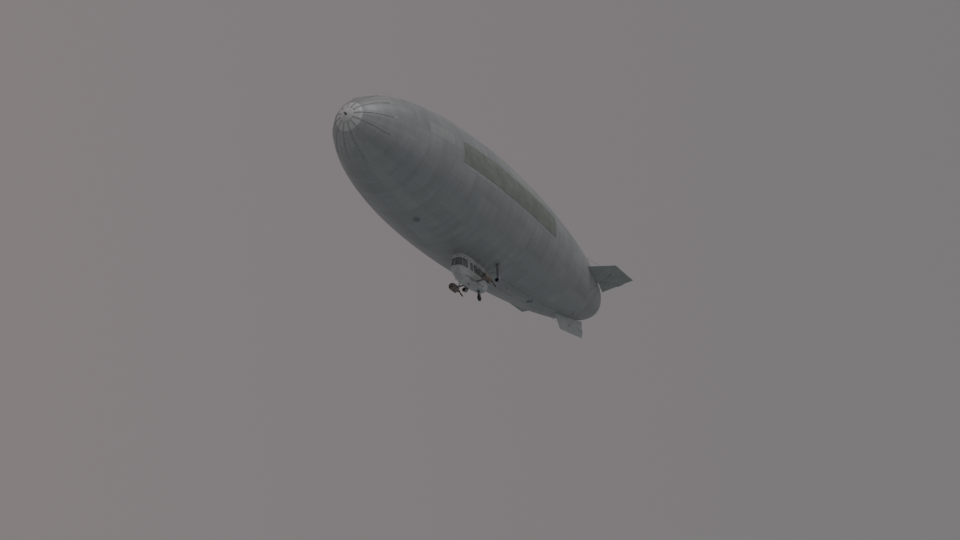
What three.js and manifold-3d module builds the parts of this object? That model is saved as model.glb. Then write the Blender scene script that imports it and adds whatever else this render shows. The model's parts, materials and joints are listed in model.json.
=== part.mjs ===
// A non-rigid airship: an envelope, four fins in a cross, a car under it and two pusher engines at its sides.
// It is a scale model at 1:2, so the real airship is twice these sizes, which are in millimetres.
// +X points to the nose, +Y to port and +Z up. The origin is the centre of buoyancy, on the envelope's axis.

import * as THREE from "three";
import { mergeVertices } from "three/addons/utils/BufferGeometryUtils.js";
import Module from "manifold-3d";

const wasm = await Module();
wasm.setup();

// Gaps
const seatGap = 0.3; // between pieces that rest on each other
const runGap = 8; // between a moving piece and a fixed one
const pinGap = 0.8; // round a pin or shaft in its bore

// Envelope
const envelopeLength = 29250;
const envelopeRadius = 3500;
const envelopeWall = 10;
const noseX = 13600;
const fullestAt = 0.405; // share of the length from the nose
const envelopeSides = 48;
const envelopeStations = 20;
const noseHoleRadius = 130;

// Nose and tail ends: the dish's and the cap's places are measured from the envelope's tips
const dish = {
  radius: 400,
  height: 60,
  depth: 200,
  rimBack: 20,
  shoulder: { out: 36, radius: 220 },
  crownRadius: 80,
  sides: 24,
};
const spindle = {
  radius: 32,
  length: 150,
  foot: { radius: 70, thickness: 14 },
  head: { radius: 48, length: 30, neck: 10 },
  sides: 16,
};
const batten = { count: 12, stations: 3, width: 60, depth: 24, footBack: 40 };
const tailCap = {
  radius: 260,
  depth: 90,
  rimIn: 4,
  shoulder: { out: 24, radius: 104 },
  height: 30,
  sides: 24,
};

// Fins: the outline is the same on all four but for the tip of the bottom one
const finRoot = { foreX: -9700, foreRadius: 2525, aftX: -13750, aftRadius: 1600 };
const finTip = { foreX: -10650, aftX: -13300, radius: 4050 };
const hingeX = -12250;
const finInnerRadius = 1900; // inside the envelope, which cuts it off
const finThickness = { inner: 140, tip: 76 };
const surfaceRoot = { hingeRadius: 2085, aftRadius: 1660 };
const trailingHalf = 6;
const hingeGap = 60; // from the hinge line to the fin's rear face
const lugHalf = 20;
const lugHeight = 24;
const slotDepth = 40;
const hingePinRadius = 9;

// Car, from the top down: each level's height, its foremost and rearmost x and its half width
const carLevels = [
  { z: -3400, front: 2740, rear: -150, half: 392 },
  { z: -3700, front: 2860, rear: -250, half: 420 },
  { z: -4060, front: 2990, rear: -340, half: 438 },
  { z: -4420, front: 3100, rear: -365, half: 440 },
  { z: -4700, front: 2980, rear: -290, half: 408 },
  { z: -4850, front: 2720, rear: -110, half: 330 },
  { z: -4900, front: 2500, rear: 60, half: 250 },
];
const carMiddleX = 1400;
const carSides = 32;
const carFullness = 3.2; // exponent of the outline: 2 is an ellipse and more is squarer
const carWall = 25;
const roofZ = -3700;
const beltZ = -4500;
const floorZ = -4760;
const floorThickness = 30;
const noseJointX = 2200;
const tailJointX = 150;
const windowLowZ = -4330;
const windowHighZ = -3830;
const windowCorner = 45;
const glassThickness = 6;
const glassLap = 20;
const mullion = 46;

// Door in the port side, hinged at its front edge
const door = { foreX: 2040, aftX: 1680, lowZ: -4700, highZ: -3780, corner: 60, gap: 10, windowMargin: 45 };
const doorGrip = {
  z: -4375,
  half: 8,
  foreX: 1810,
  aftX: 1705,
  innerY: 446,
  outerY: 456,
  footX: 1780,
  footWidth: 24,
  footLap: 4,
};
const hinge = {
  x: 2045,
  y: 456,
  places: [-4430, -3870],
  height: 80,
  knuckleRadius: 10,
  pinRadius: 5,
  strapLow: 10,
  strapHigh: 2,
  footDepth: 42,
  footFrom: 12,
  fixedReach: 62,
  movingReach: 70,
  fixedKnuckle: [0.36, 0.64], // shares of the height
  movingKnuckles: [
    [0, 0.28],
    [0.72, 1],
  ],
};

// Engines: where the nacelles' axes are, and the nacelle's radius along it from the tail to the intake
const engine = { x: 1250, y: 1075, z: -4745 };
const nacelle = {
  wall: 12,
  radius: 215,
  sides: 16,
  cavityX: 900,
  profile: [
    { x: 830, radius: 66 },
    { x: 880, radius: 105 },
    { x: 960, radius: 150 },
    { x: 1060, radius: 188 },
    { x: 1190, radius: 211 },
    { x: 1330, radius: 215 },
    { x: 1480, radius: 209 },
    { x: 1580, radius: 186 },
    { x: 1620, radius: 158 },
  ],
};
const engineBlock = { length: 400, width: 330, height: 210 };
const outrigger = {
  chord: 190,
  depth: 56,
  rootY: 300, // inside the car, which cuts it off
  overlap: 60,
  strutFootY: 790,
  strutTops: [1130, 1620], // on the pillars between the windows
  strutTopZ: -4000,
  strutRadius: 17,
};
// Exhaust pipe: x from the engine's middle, and how far below the nacelle's widest radius
const exhaust = {
  radius: 24,
  places: [
    { x: 150, below: -40 },
    { x: 90, below: 30 },
    { x: -60, below: 50 },
  ],
};

// Propeller: two blades behind the nacelle; blade sections from the hub out
const propeller = {
  x: 745,
  shaftRadius: 25,
  rest: 30, // degrees from upright
  hubProfile: [
    [-120, 0],
    [-112, 22],
    [-80, 44],
    [-30, 56],
    [48, 60],
    [48, 25],
    [150, 25],
    [150, 0],
  ],
  blade: [
    { radius: 30, chord: 44, thick: 40, pitch: 50 },
    { radius: 110, chord: 62, thick: 24, pitch: 42 },
    { radius: 240, chord: 84, thick: 15, pitch: 30 },
    { radius: 370, chord: 76, thick: 10, pitch: 22 },
    { radius: 450, chord: 54, thick: 7, pitch: 18 },
    { radius: 480, chord: 22, thick: 4, pitch: 17 },
  ],
};

// Landing gear
const groundZ = -5500;
const wheelX = 350;
const tyre = { radius: 175, sides: 24 };
const gear = {
  swivelX: 400,
  legFootZ: -5092,
  legRadius: 46,
  braceReach: 260,
  braceRadius: 18,
  stemRadius: 24,
  stemLength: 100,
  crown: 25,
  crownFore: 40, // ahead of the swivel
  crownAft: 35, // behind the axle
  armIn: 66,
  armOut: 84,
  armHalf: 30,
  armPastAxle: 32,
  axleRadius: 13,
  axlePastArm: 6,
  topLap: 40, // into the car, which cuts it off
  braceHigh: 70, // from the leg's foot
};

// The hub's and the tyre's profiles, as y and radius; the tyre sits a gap off the rim
const rim = [
  [-46, 0],
  [-46, 97],
  [-38, 97],
  [-30, 88],
  [30, 88],
  [38, 97],
  [46, 97],
  [46, 0],
];
const tread = [
  [-36, 97 + seatGap * 2],
  [-52, 112],
  [-55, 130],
  [-48, 158],
  [-32, tyre.radius],
  [32, tyre.radius],
  [48, 158],
  [55, 130],
  [52, 112],
  [36, 97 + seatGap * 2],
  [29, 88 + seatGap],
  [-29, 88 + seatGap],
  [-36, 97 + seatGap * 2],
];

// Air scoops: the mouth, the bend and the riser
const scoop = {
  y: 1075,
  radius: 125,
  wall: 12,
  sides: 12,
  mouthX: 130,
  mouthZ: -4400,
  bendX: 20,
  bendRadius: 190,
  hollowTopZ: -3900,
  topZ: -3250,
  braceZ: -3735,
  braceRise: 60, // from the car to the duct
  braceRadius: 14,
};

const degrees = Math.PI / 180;
const port = 1;
const starboard = -1;
const sides = [
  { name: "port", sign: port },
  { name: "starboard", sign: starboard },
];

// Materials
function material(colour, roughness, metalness, opacity = 1) {
  return new THREE.MeshStandardMaterial({
    color: colour,
    roughness,
    metalness,
    opacity,
    transparent: opacity < 1,
  });
}
const envelopeCloth = material(0x74787c, 0.6, 0.35);
const finCloth = material(0x6a6e72, 0.65, 0.3);
const stayWire = material(0x5c6064, 0.45, 0.9);
const carPaint = material(0x8d9093, 0.5, 0.2);
const carFloorBoard = material(0x4a4846, 0.8, 0.0);
const windowAcrylic = material(0x2b3236, 0.12, 0.0, 0.4);
const seatCloth = material(0x4d3a30, 0.9, 0.0);
const panelPlastic = material(0x26282a, 0.7, 0.0);
const strutSteel = material(0x63666a, 0.45, 0.6);
const nacellePaint = material(0x4a2f2a, 0.55, 0.2);
const engineIron = material(0x3a3c3e, 0.6, 0.7);
const exhaustSteel = material(0x54423a, 0.6, 0.8);
const propellerPaint = material(0x2d2422, 0.5, 0.3);
const scoopAluminium = material(0x9a9da0, 0.5, 0.5);
const tyreRubber = material(0x1d1c1b, 0.9, 0.0);
const battenAluminium = material(0x8b8f92, 0.45, 0.7);

// Solids and meshes
function pointCount(geometry) {
  return geometry.getAttribute("position").count;
}

function withPositions(positions, index) {
  const geometry = new THREE.BufferGeometry();
  geometry.setAttribute("position", new THREE.BufferAttribute(new Float32Array(positions), 3));
  geometry.setIndex(index);
  return geometry;
}

function signedVolume(geometry) {
  const place = geometry.getAttribute("position");
  const [a, b, c] = [new THREE.Vector3(), new THREE.Vector3(), new THREE.Vector3()];
  let sum = 0;
  for (let i = 0; i < geometry.index.count; i += 3) {
    a.fromBufferAttribute(place, geometry.index.getX(i));
    b.fromBufferAttribute(place, geometry.index.getX(i + 1));
    c.fromBufferAttribute(place, geometry.index.getX(i + 2));
    sum += a.dot(b.cross(c)) / 6;
  }
  return sum;
}

// Welds the corners, drops the triangles that have no area and turns the faces outwards.
function closedSolid(geometry) {
  const plain = geometry.clone();
  plain.deleteAttribute("normal");
  plain.deleteAttribute("uv");
  if (!plain.index) plain.setIndex([...Array(pointCount(plain)).keys()]);
  const merged = mergeVertices(plain, 1e-3);
  const corners = [];
  for (let i = 0; i < merged.index.count; i += 3) {
    const [a, b, c] = [0, 1, 2].map((k) => merged.index.getX(i + k));
    if (a !== b && b !== c && c !== a) corners.push(a, b, c);
  }
  merged.setIndex(corners);
  if (signedVolume(merged) < 0) {
    for (let i = 1; i < corners.length; i += 3) {
      [corners[i], corners[i + 1]] = [corners[i + 1], corners[i]];
    }
  }
  return new wasm.Manifold(
    new wasm.Mesh({
      numProp: 3,
      vertProperties: new Float32Array(merged.getAttribute("position").array),
      triVerts: new Uint32Array(corners),
    }),
  );
}

function geometryOf(solid) {
  const mesh = solid.getMesh();
  const geometry = new THREE.BufferGeometry();
  geometry.setAttribute("position", new THREE.BufferAttribute(new Float32Array(mesh.vertProperties), 3));
  geometry.setIndex(new THREE.BufferAttribute(new Uint32Array(mesh.triVerts), 1));
  geometry.computeVertexNormals();
  return geometry;
}

function union(solids) {
  return solids.reduce((all, next) => all.add(next));
}

// A closed body through rings of the same number of points, each ring a closed outline, capped at both ends.
function loft(rings) {
  const count = rings[0].length;
  const positions = [];
  const index = [];
  for (const ring of rings) for (const p of ring) positions.push(p.x, p.y, p.z);
  for (let r = 0; r + 1 < rings.length; r += 1) {
    for (let k = 0; k < count; k += 1) {
      const [a, b] = [r * count + k, r * count + ((k + 1) % count)];
      index.push(a, b, a + count, b, b + count, a + count);
    }
  }
  for (const end of [0, rings.length - 1]) {
    const centre = rings[end].reduce((sum, p) => sum.add(p), new THREE.Vector3()).divideScalar(count);
    const middle = positions.length / 3;
    positions.push(centre.x, centre.y, centre.z);
    for (let k = 0; k < count; k += 1) {
      const [a, b] = [end * count + k, end * count + ((k + 1) % count)];
      if (end === 0) index.push(middle, b, a);
      else index.push(middle, a, b);
    }
  }
  return closedSolid(withPositions(positions, index));
}

function box(lowX, highX, lowY, highY, lowZ, highZ) {
  const geometry = new THREE.BoxGeometry(highX - lowX, highY - lowY, highZ - lowZ);
  geometry.translate((lowX + highX) / 2, (lowY + highY) / 2, (lowZ + highZ) / 2);
  return closedSolid(geometry);
}

// A round bar from one point to another.
function bar(from, to, radius, roundSides = 8, endRadius = radius) {
  const along = new THREE.Vector3().subVectors(to, from);
  const geometry = new THREE.CylinderGeometry(endRadius, radius, along.length(), roundSides);
  geometry.applyQuaternion(
    new THREE.Quaternion().setFromUnitVectors(new THREE.Vector3(0, 1, 0), along.clone().normalize()),
  );
  geometry.translate((from.x + to.x) / 2, (from.y + to.y) / 2, (from.z + to.z) / 2);
  return closedSolid(geometry);
}

// A body turned about a line along X: its profile is pairs of x and radius.
function turned(profile, y, z, roundSides) {
  const points = profile.map(([x, radius]) => new THREE.Vector2(radius, x));
  const geometry = new THREE.LatheGeometry(points, roundSides);
  geometry.rotateZ(-Math.PI / 2);
  geometry.translate(0, y, z);
  return closedSolid(geometry);
}

// A wheel-like body turned about a line along Y: its profile is pairs of y and radius.
function turnedAboutY(profile, x, z, roundSides) {
  const points = profile.map(([y, radius]) => new THREE.Vector2(radius, y));
  const geometry = new THREE.LatheGeometry(points, roundSides, Math.PI / roundSides);
  geometry.translate(x, 0, z);
  return closedSolid(geometry);
}

// A rounded rectangle in X and Z, from lowY to highY.
function roundedPrism(lowX, highX, lowZ, highZ, corner, lowY, highY) {
  const shape = new THREE.Shape();
  shape.moveTo(lowX + corner, lowZ);
  shape.lineTo(highX - corner, lowZ);
  shape.absarc(highX - corner, lowZ + corner, corner, -Math.PI / 2, 0);
  shape.lineTo(highX, highZ - corner);
  shape.absarc(highX - corner, highZ - corner, corner, 0, Math.PI / 2);
  shape.lineTo(lowX + corner, highZ);
  shape.absarc(lowX + corner, highZ - corner, corner, Math.PI / 2, Math.PI);
  shape.lineTo(lowX, lowZ + corner);
  shape.absarc(lowX + corner, lowZ + corner, corner, Math.PI, Math.PI * 1.5);
  const settings = { depth: highY - lowY, bevelEnabled: false, curveSegments: 2 };
  const geometry = new THREE.ExtrudeGeometry(shape, settings);
  geometry.rotateX(Math.PI / 2);
  geometry.translate(0, highY, 0);
  return closedSolid(geometry);
}

const airship = new THREE.Group();
airship.name = "airship";

function addPiece(name, solid, finish) {
  const mesh = new THREE.Mesh(geometryOf(solid), finish);
  mesh.name = name;
  airship.add(mesh);
}

// Envelope: the radius falls from its fullest place to nothing at both ends
function fullness(share) {
  return share * (1 - share) * (1 - 0.873 * share + 0.401 * share * share);
}

function radiusAt(x) {
  const share = (noseX - x) / envelopeLength;
  return envelopeRadius * Math.sqrt(Math.max(fullness(share), 0) / fullness(fullestAt));
}

function stationX(step) {
  const share = (1 - Math.cos((Math.PI * step) / envelopeStations)) / 2;
  return noseX - share * envelopeLength;
}

// The outer skin's profile from the tail to the nose, grown or shrunk by a distance
function skinProfile(grow) {
  const profile = [];
  for (let step = envelopeStations; step >= 0; step -= 1) {
    const x = stationX(step);
    const end = step === 0 ? grow : step === envelopeStations ? -grow : 0;
    const onAxis = step === 0 || step === envelopeStations;
    profile.push([x + end, onAxis ? 0 : radiusAt(x) + grow]);
  }
  return profile;
}

const envelopeSpace = turned(skinProfile(seatGap), 0, 0, envelopeSides);

function onEnvelope(x, clock, proud = 0) {
  const radius = radiusAt(x) + proud;
  return new THREE.Vector3(x, radius * Math.cos(clock), radius * Math.sin(clock));
}

function makeEnvelope() {
  const hole = bar(
    new THREE.Vector3(noseX - envelopeLength / 10, 0, 0),
    new THREE.Vector3(noseX + dish.height, 0, 0),
    noseHoleRadius,
    envelopeSides / 2,
  );
  const shell = turned(skinProfile(0), 0, 0, envelopeSides).subtract(
    turned(skinProfile(-envelopeWall), 0, 0, envelopeSides),
  );
  addPiece("envelope", shell.subtract(hole), envelopeCloth);
}

// Nose: a dish that spreads the mooring load over battens, and the spindle that the mast takes hold of
function makeNose() {
  const plate = turned(
    [
      [noseX - dish.depth, 0],
      [noseX - dish.depth, dish.radius],
      [noseX - dish.rimBack, dish.radius],
      [noseX + dish.shoulder.out, dish.shoulder.radius],
      [noseX + dish.height, dish.crownRadius],
      [noseX + dish.height, 0],
    ],
    0,
    0,
    dish.sides,
  );
  const footX = noseX + dish.height + seatGap;
  const tipX = footX + spindle.length;
  const pin = turned(
    [
      [footX, 0],
      [footX, spindle.foot.radius],
      [footX + spindle.foot.thickness, spindle.foot.radius],
      [footX + spindle.foot.thickness, spindle.radius],
      [tipX - spindle.head.length - spindle.head.neck, spindle.radius],
      [tipX - spindle.head.length, spindle.head.radius],
      [tipX, spindle.head.radius],
      [tipX, 0],
    ],
    0,
    0,
    spindle.sides,
  );
  addPiece("mooring_spindle", pin, strutSteel);

  const places = [noseX - batten.footBack];
  for (let step = 1; step <= batten.stations; step += 1) places.push(stationX(step));
  const battens = [];
  for (let k = 0; k < batten.count; k += 1) {
    const clock = (2 * Math.PI * k) / batten.count;
    const across = new THREE.Vector3(0, -Math.sin(clock), Math.cos(clock)).multiplyScalar(batten.width / 2);
    const rings = places.map((x) => {
      const low = onEnvelope(x, clock, seatGap);
      const high = onEnvelope(x, clock, batten.depth);
      const [lowLeft, lowRight] = [low.clone().sub(across), low.clone().add(across)];
      return [lowLeft, lowRight, high.clone().add(across), high.clone().sub(across)];
    });
    battens.push(loft(rings));
  }
  addPiece("nose_dish", plate.subtract(envelopeSpace).add(union(battens)), battenAluminium);

  const tailX = noseX - envelopeLength;
  const cap = turned(
    [
      [tailX - tailCap.height, 0],
      [tailX - tailCap.shoulder.out, tailCap.shoulder.radius],
      [tailX + tailCap.rimIn, tailCap.radius],
      [tailX + tailCap.depth, tailCap.radius],
      [tailX + tailCap.depth, 0],
    ],
    0,
    0,
    tailCap.sides,
  );
  addPiece("tail_cap", cap.subtract(envelopeSpace), battenAluminium);
}

// Fins are modelled lying to port, their span along +Y, and turned about X to their place
function foreEdgeX(radius) {
  const slope = (finTip.foreX - finRoot.foreX) / (finTip.radius - finRoot.foreRadius);
  return finRoot.foreX + slope * (radius - finRoot.foreRadius);
}

function aftEdgeX(radius) {
  const slope = (finTip.aftX - finRoot.aftX) / (finTip.radius - finRoot.aftRadius);
  return finRoot.aftX + slope * (radius - finRoot.aftRadius);
}

function finHalfThickness(radius) {
  const share = (radius - finInnerRadius) / (finTip.radius - finInnerRadius);
  return (finThickness.inner + (finThickness.tip - finThickness.inner) * share) / 2;
}

// Half thickness along the fixed fin's chord, as shares of the chord and of the full half thickness
const finSection = [
  { chord: 0, half: 0.16 },
  { chord: 0.015, half: 0.36 },
  { chord: 0.1, half: 0.72 },
  { chord: 0.4, half: 1 },
  { chord: 1, half: 0.8 },
];
const finRearHalf = finSection[finSection.length - 1].half;

// The radius of the tip edge at x: level on three fins, rising aft on the bottom one
function tipRadiusAt(fin, x) {
  const share = (x - finTip.foreX) / (finTip.aftX - finTip.foreX);
  return fin.tipFore + (fin.tipAft - fin.tipFore) * share;
}

function finRing(fin, span, thin) {
  const rearX = hingeX + hingeGap;
  const radiusOn = (x) => finInnerRadius + (tipRadiusAt(fin, x) - finInnerRadius) * span;
  let foreX = finTip.foreX;
  for (let pass = 0; pass < 8; pass += 1) foreX = foreEdgeX(radiusOn(foreX));
  const upper = [];
  const lower = [];
  for (const { chord, half } of finSection) {
    const x = foreX + (rearX - foreX) * chord;
    const radius = radiusOn(x);
    const thickness = finHalfThickness(radius) * half * thin;
    upper.push(new THREE.Vector3(x, radius, thickness));
    lower.unshift(new THREE.Vector3(x, radius, -thickness));
  }
  return [...upper, ...lower];
}

// The moving surface: a round nose about the hinge line and a straight taper to a thin edge
function surfaceRing(fin, span, thin) {
  const rootRadiusAt = (x) => {
    const share = (hingeX - x) / (hingeX - finRoot.aftX);
    return surfaceRoot.hingeRadius + (surfaceRoot.aftRadius - surfaceRoot.hingeRadius) * share;
  };
  const radiusOn = (x) => rootRadiusAt(x) + (tipRadiusAt(fin, x) - rootRadiusAt(x)) * span;
  let aftX = finTip.aftX;
  for (let pass = 0; pass < 8; pass += 1) aftX = aftEdgeX(radiusOn(aftX));
  const ring = [];
  for (const turn of [90, 45, 0, -45, -90]) {
    const noseHalf = finHalfThickness(radiusOn(hingeX)) * finRearHalf * thin;
    const x = hingeX + noseHalf * Math.cos(turn * degrees);
    ring.push(new THREE.Vector3(x, radiusOn(x), noseHalf * Math.sin(turn * degrees)));
  }
  ring.push(new THREE.Vector3(aftX, radiusOn(aftX), -trailingHalf * thin));
  ring.push(new THREE.Vector3(aftX, radiusOn(aftX), trailingHalf * thin));
  return ring;
}

// Shares of the span, and of the full thickness there: the tip is rounded off
const finSpans = [
  [0, 1],
  [0.975, 1],
  [1, 0.35],
];
const longFin = { tipFore: finTip.radius, tipAft: finTip.radius, lugs: [2380, 3050, 3720], staySpread: 32 };
const shortFin = { tipFore: 3350, tipAft: 2960, lugs: [2220, 2560, 2900], staySpread: 22 };
const fins = [
  { name: "top", surface: "rudder_top", clock: 90, ...longFin },
  { name: "port", surface: "elevator_port", clock: 0, ...longFin },
  { name: "starboard", surface: "elevator_starboard", clock: 180, ...longFin },
  { name: "bottom", surface: "rudder_bottom", clock: 270, ...shortFin },
];

function turnToPlace(solid, clock) {
  return solid.rotate([clock, 0, 0]);
}

function makeFin(fin) {
  let fixed = loft(finSpans.map(([span, thin]) => finRing(fin, span, thin)));
  let moving = loft(finSpans.map(([span, thin]) => surfaceRing(fin, span, thin)));
  for (const radius of fin.lugs) {
    const [low, high] = [radius - lugHeight / 2, radius + lugHeight / 2];
    const pinFrom = new THREE.Vector3(hingeX, low - runGap * 2, 0);
    const pinTo = new THREE.Vector3(hingeX, high + runGap * 2, 0);
    const lug = box(hingeX - lugHalf, hingeX + hingeGap + lugHalf, low, high, -lugHalf, lugHalf);
    const half = finThickness.inner;
    const slot = box(hingeX - slotDepth, hingeX + hingeGap * 2, low - runGap, high + runGap, -half, half);
    fixed = fixed.add(lug.subtract(bar(pinFrom, pinTo, hingePinRadius + pinGap, 12)));
    moving = moving.subtract(slot).add(bar(pinFrom, pinTo, hingePinRadius, 12));
  }
  addPiece(`fin_${fin.name}`, turnToPlace(fixed, fin.clock).subtract(envelopeSpace), finCloth);
  addPiece(fin.surface, turnToPlace(moving, fin.clock), finCloth);
}

// Stays: a V of two wires on each side of every fin, from its spar to the envelope
const stayFoot = { x: -11500, radiusShare: 0.6 };
const stayLands = [-10700, -12000];
const stayRadius = 6;

function makeFinStays(fin) {
  const inner = radiusAt(stayFoot.x);
  const radius = inner + (tipRadiusAt(fin, stayFoot.x) - inner) * stayFoot.radiusShare;
  for (const { name, sign } of [
    { name: "a", sign: 1 },
    { name: "b", sign: -1 },
  ]) {
    const away = finHalfThickness(radius) + stayRadius * 2 + seatGap;
    const start = new THREE.Vector3(stayFoot.x, radius, sign * away);
    const wires = stayLands.map((x) =>
      bar(start, onEnvelope(x, sign * fin.staySpread * degrees, -3 * stayRadius), stayRadius, 6),
    );
    const knot = new THREE.SphereGeometry(stayRadius * 2, 6, 4);
    knot.translate(start.x, start.y, start.z);
    const placed = turnToPlace(union([closedSolid(knot), ...wires]), fin.clock).subtract(envelopeSpace);
    addPiece(`fin_stay_${fin.name}_${name}`, placed, stayWire);
  }
}

// Car: outlines at any height between the levels
function carLevelAt(z) {
  const last = carLevels.length - 1;
  const upper = Math.min(Math.max(carLevels.findLastIndex((level) => level.z >= z), 0), last - 1);
  const [a, b] = [carLevels[upper], carLevels[upper + 1]];
  const share = (z - a.z) / (b.z - a.z);
  const mix = (key) => a[key] + (b[key] - a[key]) * share;
  return { z, front: mix("front"), rear: mix("rear"), half: mix("half") };
}

function carRing(level, inset) {
  const ring = [];
  for (let k = 0; k < carSides; k += 1) {
    const turn = (2 * Math.PI * k) / carSides;
    const power = 2 / carFullness;
    const reach = Math.cos(turn) > 0 ? level.front - carMiddleX : carMiddleX - level.rear;
    const x = carMiddleX + Math.sign(Math.cos(turn)) * (reach - inset) * Math.abs(Math.cos(turn)) ** power;
    const y = Math.sign(Math.sin(turn)) * (level.half - inset) * Math.abs(Math.sin(turn)) ** power;
    ring.push(new THREE.Vector3(x, y, level.z));
  }
  return ring;
}

// The car's form, inset from its outer skin, between two heights
function carForm(inset, lowZ, highZ) {
  const heights = [highZ, ...carLevels.map((level) => level.z).filter((z) => z < highZ && z > lowZ), lowZ];
  return loft(heights.map((z) => carRing(carLevelAt(z), inset)));
}

const carTopZ = carLevels[0].z;
const carKeelZ = carLevels[carLevels.length - 1].z;
const wide = 5000; // a cutting box's reach past the car
const sideCut = { near: 100, far: 600 }; // in Y, so that a cut goes through one side of the car only

function slab(lowZ, highZ) {
  return box(-wide, wide, -wide, wide, lowZ, highZ);
}

// Windows in the straight sides, as x from and to; the door has its own
const sideWindows = [
  { foreX: 1580, aftX: 1160 },
  { foreX: 1100, aftX: 680 },
  { foreX: 620, aftX: 220 },
];
const doorWindow = { foreX: door.foreX - door.windowMargin, aftX: door.aftX + door.windowMargin };
const starboardFront = { foreX: 2120, aftX: 1660 };

function windowPrism({ foreX, aftX }, side) {
  const [near, far] = side > 0 ? [sideCut.near, sideCut.far] : [-sideCut.far, -sideCut.near];
  return roundedPrism(aftX, foreX, windowLowZ, windowHighZ, windowCorner, near, far);
}

// The glazed band round one end of the car, less its mullions, which fan out from a point on the centre line
function bandAround(fromX, toX, pivotX, turns) {
  let band = box(fromX, toX, -wide, wide, windowLowZ, windowHighZ);
  for (const turn of turns) {
    const post = new THREE.BoxGeometry(wide, mullion, wide);
    post.translate(wide / 2, 0, 0);
    post.rotateZ(turn * degrees);
    post.translate(pivotX, 0, (windowLowZ + windowHighZ) / 2);
    band = band.subtract(closedSolid(post));
  }
  return band;
}

const noseMullions = [0, 38, -38];
const tailMullions = [150, 210];
const fanX = { nose: 2300, tail: 100 };
const bandMargin = 60; // from the joint to the glazed band
const noseBand = bandAround(noseJointX + bandMargin, wide, fanX.nose, noseMullions);
const tailBand = bandAround(-wide, tailJointX - bandMargin, fanX.tail, tailMullions);

// The space inside the walls, or a smaller one of the same form
function cabinSpace(inset) {
  return carForm(inset, carKeelZ + carWall, roofZ + 1);
}

// Glass is a thin liner behind the window cuts, a little larger than they are
function glassLiner(lowX, highX, lowY, highY) {
  const low = windowLowZ - glassLap;
  const high = windowHighZ + glassLap;
  const inset = carWall + seatGap;
  const liner = cabinSpace(inset).subtract(cabinSpace(inset + glassThickness));
  return liner.intersect(box(lowX, highX, lowY, highY, low, high));
}

const carSpace = carForm(-seatGap, carKeelZ - seatGap, carTopZ);

function doorPrism(grow) {
  const { foreX, aftX, lowZ, highZ, corner } = door;
  const { near, far } = sideCut;
  return roundedPrism(aftX - grow, foreX + grow, lowZ - grow, highZ + grow, corner + grow, near, far);
}

// One half of a hinge: knuckles on the hinge line and a strap that reaches onto the skin to one side
function hingeHalf(z, knuckles, toX) {
  const [low, high] = [z - hinge.height / 2, z + hinge.height / 2];
  const parts = knuckles.map(([from, to]) =>
    bar(
      new THREE.Vector3(hinge.x, hinge.y, low + from * hinge.height),
      new THREE.Vector3(hinge.x, hinge.y, low + to * hinge.height),
      hinge.knuckleRadius,
      10,
    ),
  );
  const away = Math.sign(toX - hinge.x);
  const [lowX, highX] = [Math.min(hinge.x, toX), Math.max(hinge.x, toX)];
  const straps = knuckles.map(([from, to]) =>
    box(
      lowX,
      highX,
      hinge.y - hinge.strapLow,
      hinge.y + hinge.strapHigh,
      low + from * hinge.height,
      low + to * hinge.height,
    ),
  );
  const footFrom = hinge.x + away * hinge.footFrom;
  const [footLow, footHigh] = [hinge.y - hinge.footDepth, hinge.y + hinge.strapHigh];
  const foot = box(Math.min(footFrom, toX), Math.max(footFrom, toX), footLow, footHigh, low, high);
  return union([...parts, ...straps, foot]);
}

function hingePin(z, radius) {
  const reach = hinge.height / 2;
  const low = new THREE.Vector3(hinge.x, hinge.y, z - reach);
  const high = new THREE.Vector3(hinge.x, hinge.y, z + reach);
  return bar(low, high, radius, 10);
}

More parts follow.
